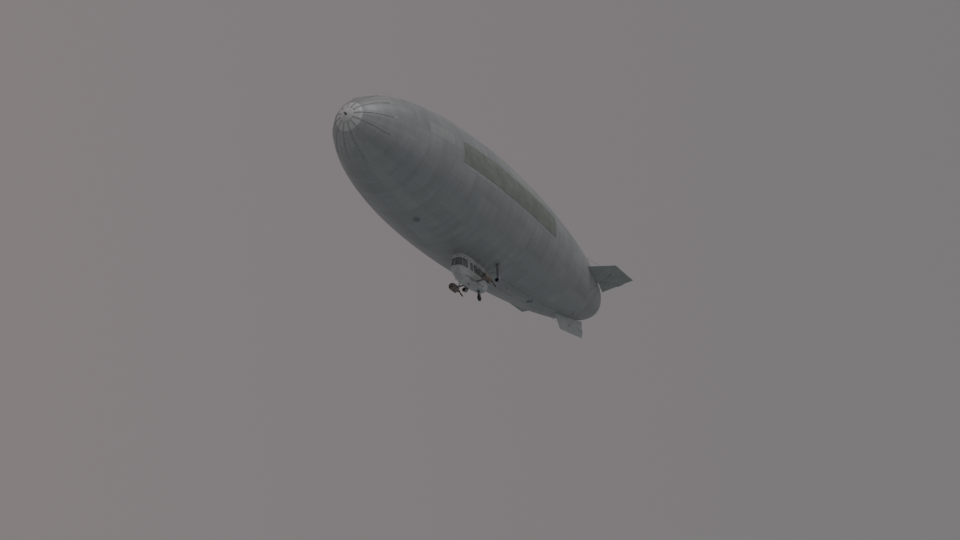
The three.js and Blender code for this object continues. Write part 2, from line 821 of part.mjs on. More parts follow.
function makeCar() {
  const shell = carForm(0, carKeelZ, roofZ).subtract(cabinSpace(carWall));
  const walls = shell.intersect(slab(beltZ + seatGap, roofZ - seatGap));

  addPiece("car_pan", shell.intersect(slab(carKeelZ - 1, beltZ)).subtract(doorPrism(door.gap)), carPaint);
  const board = cabinSpace(carWall + seatGap).intersect(slab(floorZ - floorThickness, floorZ));
  addPiece("car_floor", board, carFloorBoard);
  addPiece("car_roof", carForm(0, roofZ, carTopZ).subtract(envelopeSpace), carPaint);

  const nose = walls.intersect(box(noseJointX, wide, -wide, wide, -wide, wide)).subtract(noseBand);
  const tail = walls.intersect(box(-wide, tailJointX, -wide, wide, -wide, wide)).subtract(tailBand);
  addPiece("car_nose", nose, carPaint);
  addPiece("car_tail", tail, carPaint);
  const glassEdge = bandMargin - glassLap;
  addPiece("windscreen", glassLiner(noseJointX + glassEdge, wide, -wide, wide), windowAcrylic);
  addPiece("tail_window", glassLiner(-wide, tailJointX - glassEdge, -wide, wide), windowAcrylic);

  for (const { name, sign } of sides) {
    const windows = sign > 0 ? sideWindows : [starboardFront, ...sideWindows];
    const [lowY, highY] = sign > 0 ? [sideCut.near, wide] : [-wide, -sideCut.near];
    let side = walls.intersect(box(tailJointX + seatGap, noseJointX - seatGap, lowY, highY, -wide, wide));
    for (const window of windows) side = side.subtract(windowPrism(window, sign));
    if (sign > 0) {
      side = side.subtract(doorPrism(door.gap));
      for (const z of hinge.places) {
        const fixed = hingeHalf(z, [hinge.fixedKnuckle], hinge.x + hinge.fixedReach);
        side = side.add(fixed).subtract(hingePin(z, hinge.pinRadius + pinGap));
      }
    }
    addPiece(`car_side_${name}`, side, carPaint);
    const foreX = windows[0].foreX + glassLap;
    const aftX = windows[windows.length - 1].aftX - glassLap;
    addPiece(`side_windows_${name}`, glassLiner(aftX, foreX, lowY, highY), windowAcrylic);
  }

  let leaf = shell.intersect(doorPrism(0)).subtract(windowPrism(doorWindow, port));
  const slotShare = 0.24; // of the hinge's height, so that the fixed knuckle passes
  const slotHalf = hinge.knuckleRadius * 2;
  for (const z of hinge.places) {
    const moving = hingeHalf(z, hinge.movingKnuckles, hinge.x - hinge.movingReach);
    const [slotLow, slotHigh] = [z - slotShare * hinge.height, z + slotShare * hinge.height];
    const [nearY, farY] = [hinge.y - hinge.footDepth - 2, hinge.y + 2 * hinge.knuckleRadius];
    const slot = box(hinge.x - slotHalf, hinge.x + slotHalf, nearY, farY, slotLow, slotHigh);
    leaf = leaf.add(moving.subtract(slot)).add(hingePin(z, hinge.pinRadius));
  }
  const { innerY, outerY, footX } = doorGrip;
  const [gripLow, gripHigh] = [doorGrip.z - doorGrip.half, doorGrip.z + doorGrip.half];
  const grip = box(doorGrip.aftX, doorGrip.foreX, innerY, outerY, gripLow, gripHigh);
  const skinY = carLevelAt(doorGrip.z).half - carWall;
  const footEndX = footX + doorGrip.footWidth;
  const gripFoot = box(footX, footEndX, skinY, innerY + doorGrip.footLap, gripLow, gripHigh);
  addPiece("car_door", leaf.add(grip.add(gripFoot)), carPaint);
  addPiece(
    "door_window",
    glassLiner(doorWindow.aftX - glassLap, doorWindow.foreX + glassLap, sideCut.near, wide),
    windowAcrylic,
  );
}

// Seats: a pedestal, a cushion and a back in one, in rows joined by a track plate on the floor
const seat = { depth: 240, cushion: 60, height: 210, back: 330, backDepth: 45, pedestal: 150 };
const seatRows = [
  { name: "pilot_seats", x: 2280, y: 200, width: 200 },
  { name: "middle_seats", x: 1250, y: 245, width: 220 },
  { name: "aft_seats", x: 650, y: 245, width: 220 },
];
const bench = { name: "rear_bench", x: 180, halfWidth: 230 };
const seatTrack = { half: 30, height: 12 };
const panel = { aftX: 2700, foreX: 2760, half: 200, lowZ: -4440, highZ: -4290, standHalf: 60, standLap: 40 };
const controlWheel = {
  x: 2330,
  y: 35,
  z: -4560,
  radius: 95,
  rim: 9,
  spoke: 6,
  spokeTurns: [0, 60, 120],
  stand: 12,
  axle: 10,
};

function seatAt(x, y, width) {
  const foot = floorZ + seatGap;
  const rearX = x - seat.depth / 2;
  const half = seat.pedestal / 2;
  const pedestal = box(x - half, x + half, y - half, y + half, foot, foot + seat.height);
  const [low, high] = [foot + seat.height - seat.cushion, foot + seat.height];
  const cushion = box(rearX, x + seat.depth / 2, y - width / 2, y + width / 2, low, high);
  const back = box(rearX - seat.backDepth, rearX + 5, y - width / 2, y + width / 2, low, high + seat.back);
  return union([pedestal, cushion, back]);
}

function makeCabin() {
  const foot = floorZ + seatGap;
  for (const { name, x, y, width } of seatRows) {
    const track = box(x - seatTrack.half, x + seatTrack.half, -y, y, foot, foot + seatTrack.height);
    addPiece(name, union([track, seatAt(x, y, width), seatAt(x, -y, width)]), seatCloth);
  }
  addPiece(bench.name, seatAt(bench.x, 0, bench.halfWidth * 2), seatCloth);

  const board = box(panel.aftX, panel.foreX, -panel.half, panel.half, panel.lowZ, panel.highZ);
  const stem = box(
    panel.aftX - 10,
    panel.foreX + 20,
    -panel.standHalf,
    panel.standHalf,
    foot,
    panel.lowZ + panel.standLap,
  );
  addPiece("instrument_panel", board.add(stem), panelPlastic);

  const { x, y, z, radius } = controlWheel;
  const rim = new THREE.TorusGeometry(radius, controlWheel.rim, 5, 14);
  rim.rotateX(Math.PI / 2);
  rim.translate(x, y, z);
  const spokes = controlWheel.spokeTurns.map((turn) => {
    const angle = turn * degrees;
    const reach = new THREE.Vector3(Math.cos(angle), 0, Math.sin(angle)).multiplyScalar(radius);
    const middle = new THREE.Vector3(x, y, z);
    return bar(middle.clone().sub(reach), middle.clone().add(reach), controlWheel.spoke, 6);
  });
  const { stand: thick, axle: axleRadius } = controlWheel;
  const stand = box(x - thick, x + thick, y - 2 * thick - 2, y - thick - 2, foot, z + axleRadius);
  const axle = bar(new THREE.Vector3(x, y - 2 * thick, z), new THREE.Vector3(x, y + thick, z), axleRadius);
  addPiece("control_wheel", union([closedSolid(rim), ...spokes, stand, axle]), panelPlastic);
}

// Handrail round the car's lower edge, for the ground crew
const rail = { z: -4800, out: 45, radius: 10, foreX: 2420, aftX: 320, posts: 4 };

function tubeAlong(points, radius, steps) {
  const section = new THREE.Shape();
  section.absarc(0, 0, radius, 0, Math.PI * 2);
  const geometry = new THREE.ExtrudeGeometry(section, {
    steps,
    curveSegments: 4,
    extrudePath: new THREE.CatmullRomCurve3(points),
  });
  return closedSolid(geometry);
}

function makeHandrail(name, sign) {
  const outline = carRing(carLevelAt(rail.z), -rail.out);
  const skin = outline.filter(({ x, y }) => x > rail.aftX && x < rail.foreX && y > 0);
  const points = skin.map(({ x, y, z }) => new THREE.Vector3(x, sign * y, z));
  const parts = [tubeAlong(points, rail.radius, 10)];
  for (let k = 0; k < rail.posts; k += 1) {
    const at = points[Math.round((k * (points.length - 1)) / (rail.posts - 1))];
    parts.push(bar(at, new THREE.Vector3(at.x, at.y - sign * rail.out * 3, at.z + 20), rail.radius * 0.8, 6));
  }
  addPiece(`handrail_${name}`, union(parts).subtract(carSpace), strutSteel);
}

// Engines
function nacelleForm(grow, foreX, aftX) {
  const profile = nacelle.profile.filter(({ x }) => x < foreX && x > aftX);
  const ends = [
    [aftX, 0],
    [aftX, nacelleRadiusAt(aftX) + grow],
  ];
  const front = [
    [foreX, nacelleRadiusAt(foreX) + grow],
    [foreX, 0],
  ];
  return [...ends, ...profile.map(({ x, radius }) => [x, radius + grow]), ...front];
}

function nacelleRadiusAt(x) {
  const after = nacelle.profile.findIndex((ring) => ring.x >= x);
  const [a, b] = [nacelle.profile[Math.max(after - 1, 0)], nacelle.profile[Math.max(after, 1)]];
  return a.radius + ((b.radius - a.radius) * (x - a.x)) / (b.x - a.x);
}

function makeEngine(name, sign) {
  const y = sign * engine.y;
  const foreX = nacelle.profile[nacelle.profile.length - 1].x;
  const aftX = nacelle.profile[0].x;
  const outer = turned(nacelleForm(0, foreX, aftX), y, engine.z, nacelle.sides);
  const nacelleSpace = turned(nacelleForm(seatGap, foreX, aftX), y, engine.z, nacelle.sides);
  const cavityProfile = (shrink) => {
    const profile = nacelleForm(-nacelle.wall - shrink, foreX, nacelle.cavityX);
    return profile.map(([x, radius], k) => [k >= profile.length - 2 ? x + 1 : x, radius]);
  };
  const cavity = turned(cavityProfile(0), y, engine.z, nacelle.sides);
  const bore = bar(
    new THREE.Vector3(aftX - 1, y, engine.z),
    new THREE.Vector3(nacelle.cavityX + 1, y, engine.z),
    propeller.shaftRadius + pinGap,
    16,
  );
  addPiece(`nacelle_${name}`, outer.subtract(cavity).subtract(bore), nacellePaint);

  const { length, width, height } = engineBlock;
  const block = box(
    engine.x - length / 2,
    engine.x + length / 2,
    y - width / 2,
    y + width / 2,
    engine.z - height / 2,
    engine.z + height / 2,
  );
  const room = turned(cavityProfile(seatGap), y, engine.z, nacelle.sides);
  addPiece(`engine_${name}`, block.intersect(room), engineIron);

  const underside = engine.z - nacelle.radius;
  const route = exhaust.places.map(({ x, below }) => new THREE.Vector3(engine.x + x, y, underside - below));
  const pipe = tubeAlong(route, exhaust.radius, 8);
  addPiece(`exhaust_${name}`, pipe.subtract(nacelleSpace), exhaustSteel);

  const hub = turned(propeller.hubProfile.map(([x, radius]) => [propeller.x + x, radius]), y, engine.z, 16);
  const blades = [0, 180].map((turn) => makeBlade(turn + propeller.rest, y));
  addPiece(`propeller_${name}`, union([hub, ...blades]), propellerPaint);

  // Outrigger: a beam in a streamlined fairing, and two struts up to the car's window pillars
  const wing = [-0.5, -0.3, 0, 0.35, 0.5, 0.35, 0, -0.3];
  const wingHalf = [0, 0.36, 0.5, 0.36, 0, -0.36, -0.5, -0.36];
  const beamRings = [outrigger.rootY, engine.y - nacelle.radius + outrigger.overlap].map((reach) =>
    wing.map(
      (along, k) =>
        new THREE.Vector3(
          engine.x + along * outrigger.chord,
          sign * reach,
          engine.z + wingHalf[k] * outrigger.depth,
        ),
    ),
  );
  const struts = outrigger.strutTops.map((topX) => {
    const foot = new THREE.Vector3(engine.x, sign * outrigger.strutFootY, engine.z);
    const onSkin = new THREE.Vector3(topX, sign * carLevelAt(outrigger.strutTopZ).half, outrigger.strutTopZ);
    const inside = onSkin.clone().sub(foot).setLength(outrigger.overlap).add(onSkin);
    return bar(foot, inside, outrigger.strutRadius, 8);
  });
  const frame = union([loft(beamRings), ...struts]).subtract(carSpace).subtract(nacelleSpace);
  addPiece(`outrigger_${name}`, frame, strutSteel);
}

function makeBlade(turn, y) {
  const rings = propeller.blade.map(({ radius, chord, thick, pitch }) => {
    const angle = pitch * degrees;
    return [
      [-0.5, 0],
      [-0.25, 0.8],
      [0.1, 1],
      [0.5, 0.1],
      [0.1, -0.4],
      [-0.25, -0.4],
    ].map(([along, up]) => {
      const [a, b] = [along * chord, (up * thick) / 2];
      const [cosine, sine] = [Math.cos(angle), Math.sin(angle)];
      return new THREE.Vector3(a * sine + b * cosine, a * cosine - b * sine, radius);
    });
  });
  return loft(rings).rotate([turn, 0, 0]).translate([propeller.x, y, engine.z]);
}

// Landing gear: a fixed leg, a fork that casters in it, and one wheel
function makeLandingGear() {
  const wheelZ = groundZ + tyre.radius * Math.cos(Math.PI / tyre.sides);
  const legTop = new THREE.Vector3(gear.swivelX, 0, carKeelZ + gear.topLap);
  const legFoot = new THREE.Vector3(gear.swivelX, 0, gear.legFootZ);
  const braces = [gear.braceReach, -gear.braceReach].map((reach) =>
    bar(
      new THREE.Vector3(gear.swivelX, 0, gear.legFootZ + gear.braceHigh),
      new THREE.Vector3(gear.swivelX + reach, 0, carKeelZ + gear.topLap),
      gear.braceRadius,
      8,
    ),
  );
  const boreDepth = gear.stemLength + pinGap * 4;
  const stemBore = bar(
    new THREE.Vector3(gear.swivelX, 0, gear.legFootZ - 1),
    new THREE.Vector3(gear.swivelX, 0, gear.legFootZ + boreDepth),
    gear.stemRadius + pinGap,
    16,
  );
  const leg = union([bar(legTop, legFoot, gear.legRadius, 16), ...braces]);
  addPiece("gear_leg", leg.subtract(stemBore).subtract(carSpace), strutSteel);

  const crownHigh = gear.legFootZ - runGap;
  const crownLow = crownHigh - gear.crown;
  const stem = bar(
    new THREE.Vector3(gear.swivelX, 0, crownLow + 5),
    new THREE.Vector3(gear.swivelX, 0, gear.legFootZ + gear.stemLength),
    gear.stemRadius,
    16,
  );
  const [crownAftX, crownForeX] = [wheelX - gear.crownAft, gear.swivelX + gear.crownFore];
  const crown = box(crownAftX, crownForeX, -gear.armOut, gear.armOut, crownLow, crownHigh);
  const arms = sides.map(({ sign }) => {
    const [low, high] = [gear.armIn * sign, gear.armOut * sign].sort((a, b) => a - b);
    const { armHalf, armPastAxle } = gear;
    return box(wheelX - armHalf, wheelX + armHalf, low, high, wheelZ - armPastAxle, crownLow + 5);
  });
  const axleBore = bar(
    new THREE.Vector3(wheelX, -gear.armOut * 2, wheelZ),
    new THREE.Vector3(wheelX, gear.armOut * 2, wheelZ),
    gear.axleRadius + pinGap,
    12,
  );
  addPiece("caster_fork", union([stem, crown, ...arms]).subtract(axleBore), strutSteel);

  const axle = bar(
    new THREE.Vector3(wheelX, -gear.armOut - gear.axlePastArm, wheelZ),
    new THREE.Vector3(wheelX, gear.armOut + gear.axlePastArm, wheelZ),
    gear.axleRadius,
    12,
  );
  addPiece("wheel_hub", turnedAboutY(rim, wheelX, wheelZ, tyre.sides).add(axle), strutSteel);
  addPiece("tyre", turnedAboutY(tread, wheelX, wheelZ, tyre.sides), tyreRubber);
}

// Air scoops: a duct behind each propeller that turns up into the envelope, and its brace to the car
function scoopForm(y, radius, topZ) {
  const places = [{ x: scoop.mouthX, z: scoop.mouthZ, lean: 0 }];
  for (const lean of [0, 22.5, 45, 67.5, 90]) {
    places.push({
      x: scoop.bendX - scoop.bendRadius * Math.sin(lean * degrees),
      z: scoop.mouthZ + scoop.bendRadius * (1 - Math.cos(lean * degrees)),
      lean,
    });
  }
  places.push({ x: scoop.bendX - scoop.bendRadius, z: topZ, lean: 90 });
  return loft(
    places.map(({ x, z, lean }) => {
      const ring = [];
      for (let k = 0; k < scoop.sides; k += 1) {
        const turn = (2 * Math.PI * k) / scoop.sides;
        const [across, up] = [radius * Math.cos(turn), radius * Math.sin(turn)];
        ring.push(
          new THREE.Vector3(x + up * Math.sin(lean * degrees), y + across, z + up * Math.cos(lean * degrees)),
        );
      }
      return ring;
    }),
  );
}

function makeScoop(name, sign) {
  const y = sign * scoop.y;
  const mouth = scoopForm(y, scoop.radius - scoop.wall, scoop.hollowTopZ);
  const lip = bar(
    new THREE.Vector3(scoop.mouthX - 1, y, scoop.mouthZ),
    new THREE.Vector3(scoop.mouthX + 1, y, scoop.mouthZ),
    scoop.radius - scoop.wall,
    scoop.sides,
  );
  const duct = scoopForm(y, scoop.radius, scoop.topZ).subtract(mouth).subtract(lip);
  const braceX = scoop.bendX - scoop.bendRadius;
  const brace = bar(
    new THREE.Vector3(braceX, y - sign * (scoop.radius - scoop.wall / 2), scoop.braceZ),
    new THREE.Vector3(braceX + scoop.braceRise, 0, scoop.braceZ - scoop.braceRise),
    scoop.braceRadius,
    8,
  );
  addPiece(`air_scoop_${name}`, duct.add(brace).subtract(envelopeSpace).subtract(carSpace), scoopAluminium);
}

// Air valves on the belly, one near each ballonet
const valve = {
  sides: 20,
  rim: { from: -40, to: 38, footRadius: 210, topRadius: 190 },
  lid: { from: 30, to: 62, footRadius: 120, topRadius: 104 },
};
const valves = [
  { name: "fore", x: 7000 },
  { name: "aft", x: -6200 },
];

function makeValve({ name, x }) {
  const below = (proud) => onEnvelope(x, -90 * degrees, proud);
  const [disc, lid] = [valve.rim, valve.lid].map(({ from, to, footRadius, topRadius }) =>
    bar(below(from), below(to), footRadius, valve.sides, topRadius),
  );
  addPiece(`air_valve_${name}`, disc.add(lid).subtract(envelopeSpace), battenAluminium);
}

makeEnvelope();
makeNose();
for (const fin of fins) {
  makeFin(fin);
  makeFinStays(fin);
}
makeCar();
makeCabin();
for (const { name, sign } of sides) {
  makeHandrail(name, sign);
  makeEngine(name, sign);
  makeScoop(name, sign);
}
makeLandingGear();
valves.forEach(makeValve);

export default airship;
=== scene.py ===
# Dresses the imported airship: cloth, paint, metal, glass and the small parts that the solids leave out.
# Metres, +X to the nose, +Y to port, +Z up, at the model's own scale of 1:2.
import json
import math

import bpy
from mathutils import Matrix, Vector

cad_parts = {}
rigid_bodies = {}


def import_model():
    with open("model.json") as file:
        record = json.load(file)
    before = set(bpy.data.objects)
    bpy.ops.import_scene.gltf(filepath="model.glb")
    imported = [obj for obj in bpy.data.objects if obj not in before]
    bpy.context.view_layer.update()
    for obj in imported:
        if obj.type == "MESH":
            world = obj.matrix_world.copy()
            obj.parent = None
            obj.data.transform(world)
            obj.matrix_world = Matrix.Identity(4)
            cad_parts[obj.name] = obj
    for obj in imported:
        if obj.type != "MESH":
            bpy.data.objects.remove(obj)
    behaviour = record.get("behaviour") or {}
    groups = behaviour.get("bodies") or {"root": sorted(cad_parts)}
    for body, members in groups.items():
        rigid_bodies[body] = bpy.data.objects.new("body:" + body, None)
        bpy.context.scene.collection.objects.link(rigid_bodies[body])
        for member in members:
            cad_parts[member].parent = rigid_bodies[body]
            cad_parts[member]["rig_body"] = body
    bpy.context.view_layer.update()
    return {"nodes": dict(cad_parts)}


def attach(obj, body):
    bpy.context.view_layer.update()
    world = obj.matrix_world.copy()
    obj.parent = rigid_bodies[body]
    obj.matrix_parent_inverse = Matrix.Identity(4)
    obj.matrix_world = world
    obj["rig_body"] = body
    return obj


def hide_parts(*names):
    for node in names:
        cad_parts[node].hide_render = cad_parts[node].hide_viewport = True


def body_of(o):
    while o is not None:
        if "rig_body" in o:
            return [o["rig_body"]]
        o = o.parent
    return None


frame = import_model()
nodes = frame["nodes"]
print("frame loaded:", len(nodes), "solids")

# The view, from the ground ahead of the airship and to its port side
viewpoint = {
    "aim": (0.4375, 0.0, 0.0),
    "fromNose": 27.8,  # degrees towards port
    "elevation": -28.33,
    "distance": 86.35,
    "roll": -3.64,
    "tilt": -2.135,  # the airship stands above the picture's middle
    "pan": -0.26,
    "lens": 55.65,
}


def makeCamera():
    aside, up = math.radians(viewpoint["fromNose"]), math.radians(viewpoint["elevation"])
    back = Vector((math.cos(up) * math.cos(aside), math.cos(up) * math.sin(aside), math.sin(up)))
    bpy.ops.object.camera_add(location=Vector(viewpoint["aim"]) + back * viewpoint["distance"])
    camera = bpy.context.object
    camera.name = "camera"
    camera.data.lens = viewpoint["lens"]
    camera.data.sensor_width = 36
    camera.data.clip_end = 1000
    turn = (-back).to_track_quat("-Z", "Y").to_matrix()
    for key, axis in (("roll", "Z"), ("tilt", "X"), ("pan", "Y")):
        turn = turn @ Matrix.Rotation(math.radians(viewpoint[key]), 3, axis)
    camera.rotation_euler = turn.to_euler()
    bpy.context.scene.camera = camera


makeCamera()
bpy.context.scene.view_settings.view_transform = "Standard"


# Tools for shaping
def deselectAll():
    if bpy.context.object and bpy.context.object.mode != "OBJECT":
        bpy.ops.object.mode_set(mode="OBJECT")
    bpy.ops.object.select_all(action="DESELECT")


def activate(piece):
    deselectAll()
    piece.select_set(True)
    bpy.context.view_layer.objects.active = piece


def editAll(piece):
    activate(piece)
    bpy.context.tool_settings.mesh_select_mode = (True, False, False)
    bpy.ops.object.mode_set(mode="EDIT")
    bpy.ops.mesh.select_all(action="SELECT")


def selectWhere(piece, kind, test):  # leaves the piece in edit mode with what passes the test selected
    activate(piece)
    mesh = piece.data
    groups = {"VERT": mesh.vertices, "EDGE": mesh.edges, "FACE": mesh.polygons}
    for group in groups.values():
        group.foreach_set("select", [False] * len(group))
    bpy.context.tool_settings.mesh_select_mode = [kind == name for name in groups]
    groups[kind].foreach_set("select", [bool(test(part)) for part in groups[kind]])
    bpy.ops.object.mode_set(mode="EDIT")


def applyModifier(piece, kind, **settings):
    activate(piece)
    modifier = piece.modifiers.new(kind.lower(), kind)
    for key, value in settings.items():
        setattr(modifier, key, value)
    bpy.ops.object.modifier_apply(modifier=modifier.name)


def cleanUp(piece, threshold=1e-4):
    editAll(piece)
    bpy.ops.mesh.remove_doubles(threshold=threshold)
    bpy.ops.mesh.normals_make_consistent(inside=False)
    bpy.ops.object.mode_set(mode="OBJECT")


def drawLine(name, points):  # one vertex, drawn on from point to point; stays in edit mode
    deselectAll()
    bpy.ops.mesh.primitive_plane_add(size=0.01, location=points[0])
    piece = bpy.context.object
    piece.name = name
    editAll(piece)
    bpy.ops.mesh.merge(type="CENTER")
    for here, there in zip(points, points[1:]):
        bpy.ops.mesh.extrude_region_move(TRANSFORM_OT_translate={"value": Vector(there) - Vector(here)})
    bpy.ops.mesh.select_all(action="SELECT")
    return piece


flanks = {"port": 1, "starboard": -1}
along = {"X": Vector((1, 0, 0)), "Y": Vector((0, 1, 0)), "Z": Vector((0, 0, 1))}
across = {"X": Vector((0, 1, 0)), "Y": Vector((1, 0, 0)), "Z": Vector((1, 0, 0))}


def lathe(name, profile, centre=(0, 0, 0), axis="X", steps=32, shut=True):
    # The profile is pairs of place and radius; a ring closes on itself, and an open end closes at the axis
    middle = Vector(centre)
    profile = list(profile)
    opens = [end[1] > 1e-6 for end in (profile[0], profile[-1])]
    if shut and all(opens) and profile[0] != profile[-1]:
        profile.append(profile[0])
    elif shut and opens == [True, False]:
        profile.insert(0, (profile[0][0], 0.0))
    elif shut and opens == [False, True]:
        profile.append((profile[-1][0], 0.0))
    piece = drawLine(
        name, [middle + along[axis] * place + across[axis] * radius for place, radius in profile]
    )
    bpy.ops.mesh.spin(steps=steps, angle=2 * math.pi, center=middle, axis=along[axis])
    cleanUp(piece)
    return piece


def spinCopies(piece, count, centre=(0, 0, 0), axis="X"):
    editAll(piece)
    whole = 2 * math.pi * (count - 1) / count
    bpy.ops.mesh.spin(steps=count - 1, dupli=True, angle=whole, center=centre, axis=along[axis])
    bpy.ops.object.mode_set(mode="OBJECT")
    return piece


def tube(name, points, radius, sides=8, closed=False):
    deselectAll()
    bpy.ops.curve.primitive_nurbs_path_add()
    piece = bpy.context.object
    piece.name = name
    piece.data.splines.clear()
    spline = piece.data.splines.new("POLY")
    spline.points.add(len(points) - 1)
    for knot, point in zip(spline.points, points):
        knot.co = (*point, 1)
    spline.use_cyclic_u = closed
    piece.data.bevel_depth = radius
    piece.data.bevel_resolution = max((sides - 4) // 2, 0)
    piece.data.use_fill_caps = not closed
    bpy.ops.object.convert(target="MESH")
    piece = bpy.context.object
    cleanUp(piece, 1e-5)
    return piece


def block(name, low, high, bevel=0.004, segments=2):
    deselectAll()
    low, high = (Vector([pick(pair) for pair in zip(low, high)]) for pick in (min, max))
    bpy.ops.mesh.primitive_cube_add(size=1, location=(low + high) / 2)
    piece = bpy.context.object
    piece.name = name
    piece.scale = high - low
    bpy.ops.object.transform_apply(location=False, rotation=False, scale=True)
    editAll(piece)
    bpy.ops.mesh.bevel(offset=bevel, segments=segments, affect="EDGES")
    bpy.ops.object.mode_set(mode="OBJECT")
    return piece


def joined(name, pieces):
    deselectAll()
    for piece in pieces:
        piece.select_set(True)
    bpy.context.view_layer.objects.active = pieces[0]
    if len(pieces) > 1:
        bpy.ops.object.join()
    bpy.ops.object.transform_apply(location=True, rotation=True, scale=True)
    pieces[0].name = name
    return pieces[0]


def copyOf(piece, name, move=(0, 0, 0)):
    activate(piece)
    bpy.ops.object.duplicate()
    other = bpy.context.object
    other.name = name
    other.location = Vector(other.location) + Vector(move)
    return other


def finishPiece(piece, material, body="hull", smooth=35):
    activate(piece)
    bpy.ops.object.transform_apply(location=True, rotation=True, scale=True)
    if smooth:
        bpy.ops.object.shade_smooth_by_angle(angle=math.radians(smooth))
    piece.data.materials.clear()
    piece.data.materials.append(material)
    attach(piece, body)
    return piece


def bodyOf(node):
    found = body_of(nodes[node])
    return found if isinstance(found, str) else found[0]


def standIn(node, ending, parts, material, smooth=40):  # takes the place of the node's solid
    whole = finishPiece(joined(node + ending, parts), material, bodyOf(node), smooth)
    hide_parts(node)
    return whole


def dressNode(node, material, bevel=0.004, segments=2, smooth=35):
    # a finer copy stands in for the solid
    piece = bpy.data.objects.new(node + "_dressed", nodes[node].data.copy())
    bpy.context.collection.objects.link(piece)
    editAll(piece)
    bpy.ops.mesh.remove_doubles(threshold=1e-5)
    bpy.ops.mesh.dissolve_limited(angle_limit=math.radians(0.6))
    if bevel:
        applyModifier(
            piece, "BEVEL", width=bevel, segments=segments, limit_method="ANGLE", angle_limit=math.radians(40)
        )
    finishPiece(piece, material, bodyOf(node), smooth)
    applyModifier(piece, "WEIGHTED_NORMAL", keep_sharp=True)
    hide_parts(node)
    return piece


# Tools for materials
def fromHex(text):
    shares = [int(text[k : k + 2], 16) / 255 for k in (0, 2, 4)]
    return (*[s / 12.92 if s <= 0.04045 else ((s + 0.055) / 1.055) ** 2.4 for s in shares], 1.0)


def feed(tree, node, inputs):  # an input gets a number, a hex colour, a socket or a node's first output
    for key, source in inputs.items():
        if isinstance(source, bpy.types.Node):
            source = source.outputs[0]
        if isinstance(source, bpy.types.NodeSocket):
            tree.links.new(source, node.inputs[key])
        else:
            node.inputs[key].default_value = fromHex(source) if isinstance(source, str) else source


def addNode(tree, kind, inputs=(), stops=(), **settings):  # stops are a colour ramp's places and hex colours
    node = tree.nodes.new(kind)
    for key, value in settings.items():
        setattr(node, key, value)
    if stops:
        shades = node.color_ramp.elements
        while len(shades) < len(stops):
            shades.new(0.5)
        for shade, (place, colour) in zip(shades, stops):
            shade.position = place
            shade.color = fromHex(colour)
    feed(tree, node, inputs if isinstance(inputs, dict) else dict(enumerate(inputs)))
    return node


def startMaterial(name, colour, roughness, metallic=0.0):
    material = bpy.data.materials.new(name)
    material.use_nodes = True
    tree = material.node_tree
    shader = tree.nodes["Principled BSDF"]
    feed(tree, shader, {"Base Color": colour, "Roughness": roughness, "Metallic": metallic})
    place = addNode(tree, "ShaderNodeTexCoord").outputs["Object"]
    return material, tree, shader, place


def perMetre(millimetres):  # a noise pattern's scale from the real size of its grain
    return 1000 / millimetres


def wavesPerMetre(millimetres):  # a wave pattern's scale: it turns 20 radians a unit
    return 2 * math.pi / 20 * 1000 / millimetres


detail = {steps: {"Detail": steps, "Roughness": 0.55} for steps in (2, 3, 4, 5, 6)}  # of a noise pattern
mixed = {"data_type": "RGBA", "blend_type": "MIX"}
multiplied = {"data_type": "RGBA", "blend_type": "MULTIPLY"}


# Sky, sun and floor
surroundings = {
    "sky": ("857f80", "7c7a7b"),  # from the left of the picture to its right
    "floorHeight": -41.5,
    "floorSize": 2400,
    "below": "6e7273",  # what the belly sees: hazy dark land, well under the horizon, where no view looks
    "sunStrength": 0.66,
    "sunFrom": (0.34, 0.6, 0.85),
    "sunWidth": 14,  # degrees, which keeps its shadows soft
}


def makeSurroundings():
    world = bpy.data.worlds.new("haze")
    bpy.context.scene.world = world
    world.use_nodes = True
    tree = world.node_tree
    toward = addNode(tree, "ShaderNodeTexCoord").outputs["Generated"]
    side = addNode(tree, "ShaderNodeVectorMath", [toward, (-0.46, 0.88, 0.0)], operation="DOT_PRODUCT")
    share = addNode(
        tree, "ShaderNodeMapRange", {"Value": side.outputs["Value"], "From Min": -0.32, "From Max": 0.32}
    )
    tint = addNode(tree, "ShaderNodeValToRGB", [share], list(enumerate(surroundings["sky"])))
    rise = addNode(tree, "ShaderNodeSeparateXYZ", [toward]).outputs[2]
    depth = addNode(tree, "ShaderNodeMapRange", {"Value": rise, "From Min": -0.06, "From Max": -0.3})
    shade = addNode(tree, "ShaderNodeMix", {0: depth, 6: tint, 7: surroundings["below"]}, **mixed)
    feed(tree, tree.nodes["Background"], {"Color": shade.outputs[2]})

    bpy.ops.object.light_add(type="SUN", location=(0, 0, 30))
    sun = bpy.context.object
    sun.name = "sun"
    sun.data.energy = surroundings["sunStrength"]
    sun.data.angle = math.radians(surroundings["sunWidth"])
    sun.rotation_euler = Vector(surroundings["sunFrom"]).to_track_quat("Z", "Y").to_euler()

    deselectAll()
    middle = (0, 0, surroundings["floorHeight"])
    bpy.ops.mesh.primitive_grid_add(
        x_subdivisions=8, y_subdivisions=8, size=surroundings["floorSize"], location=middle
    )
    floor = bpy.context.object
    floor.name = "floor"
    # Power-floated pale concrete: matt and even
    material, tree, shader, place = startMaterial("paleConcrete", "d6d4d0", 0.9)
    grit = addNode(tree, "ShaderNodeTexNoise", {"Vector": place, "Scale": perMetre(400), **detail[3]})
    concrete = addNode(tree, "ShaderNodeValToRGB", [grit], [(0.3, "d4d2ce"), (0.7, "d8d6d2")])
    feed(tree, shader, {"Base Color": concrete})
    floor.data.materials.append(material)
    floor.visible_diffuse = False  # the belly is lit by the haze below and not by the pale floor
    floor.visible_glossy = False


makeSurroundings()
print("camera, sky and floor made")


# Materials
hull = {"noseX": 13.6, "length": 29.25, "radius": 3.5, "fullestAt": 0.405, "gores": 24, "panelLength": 1950}


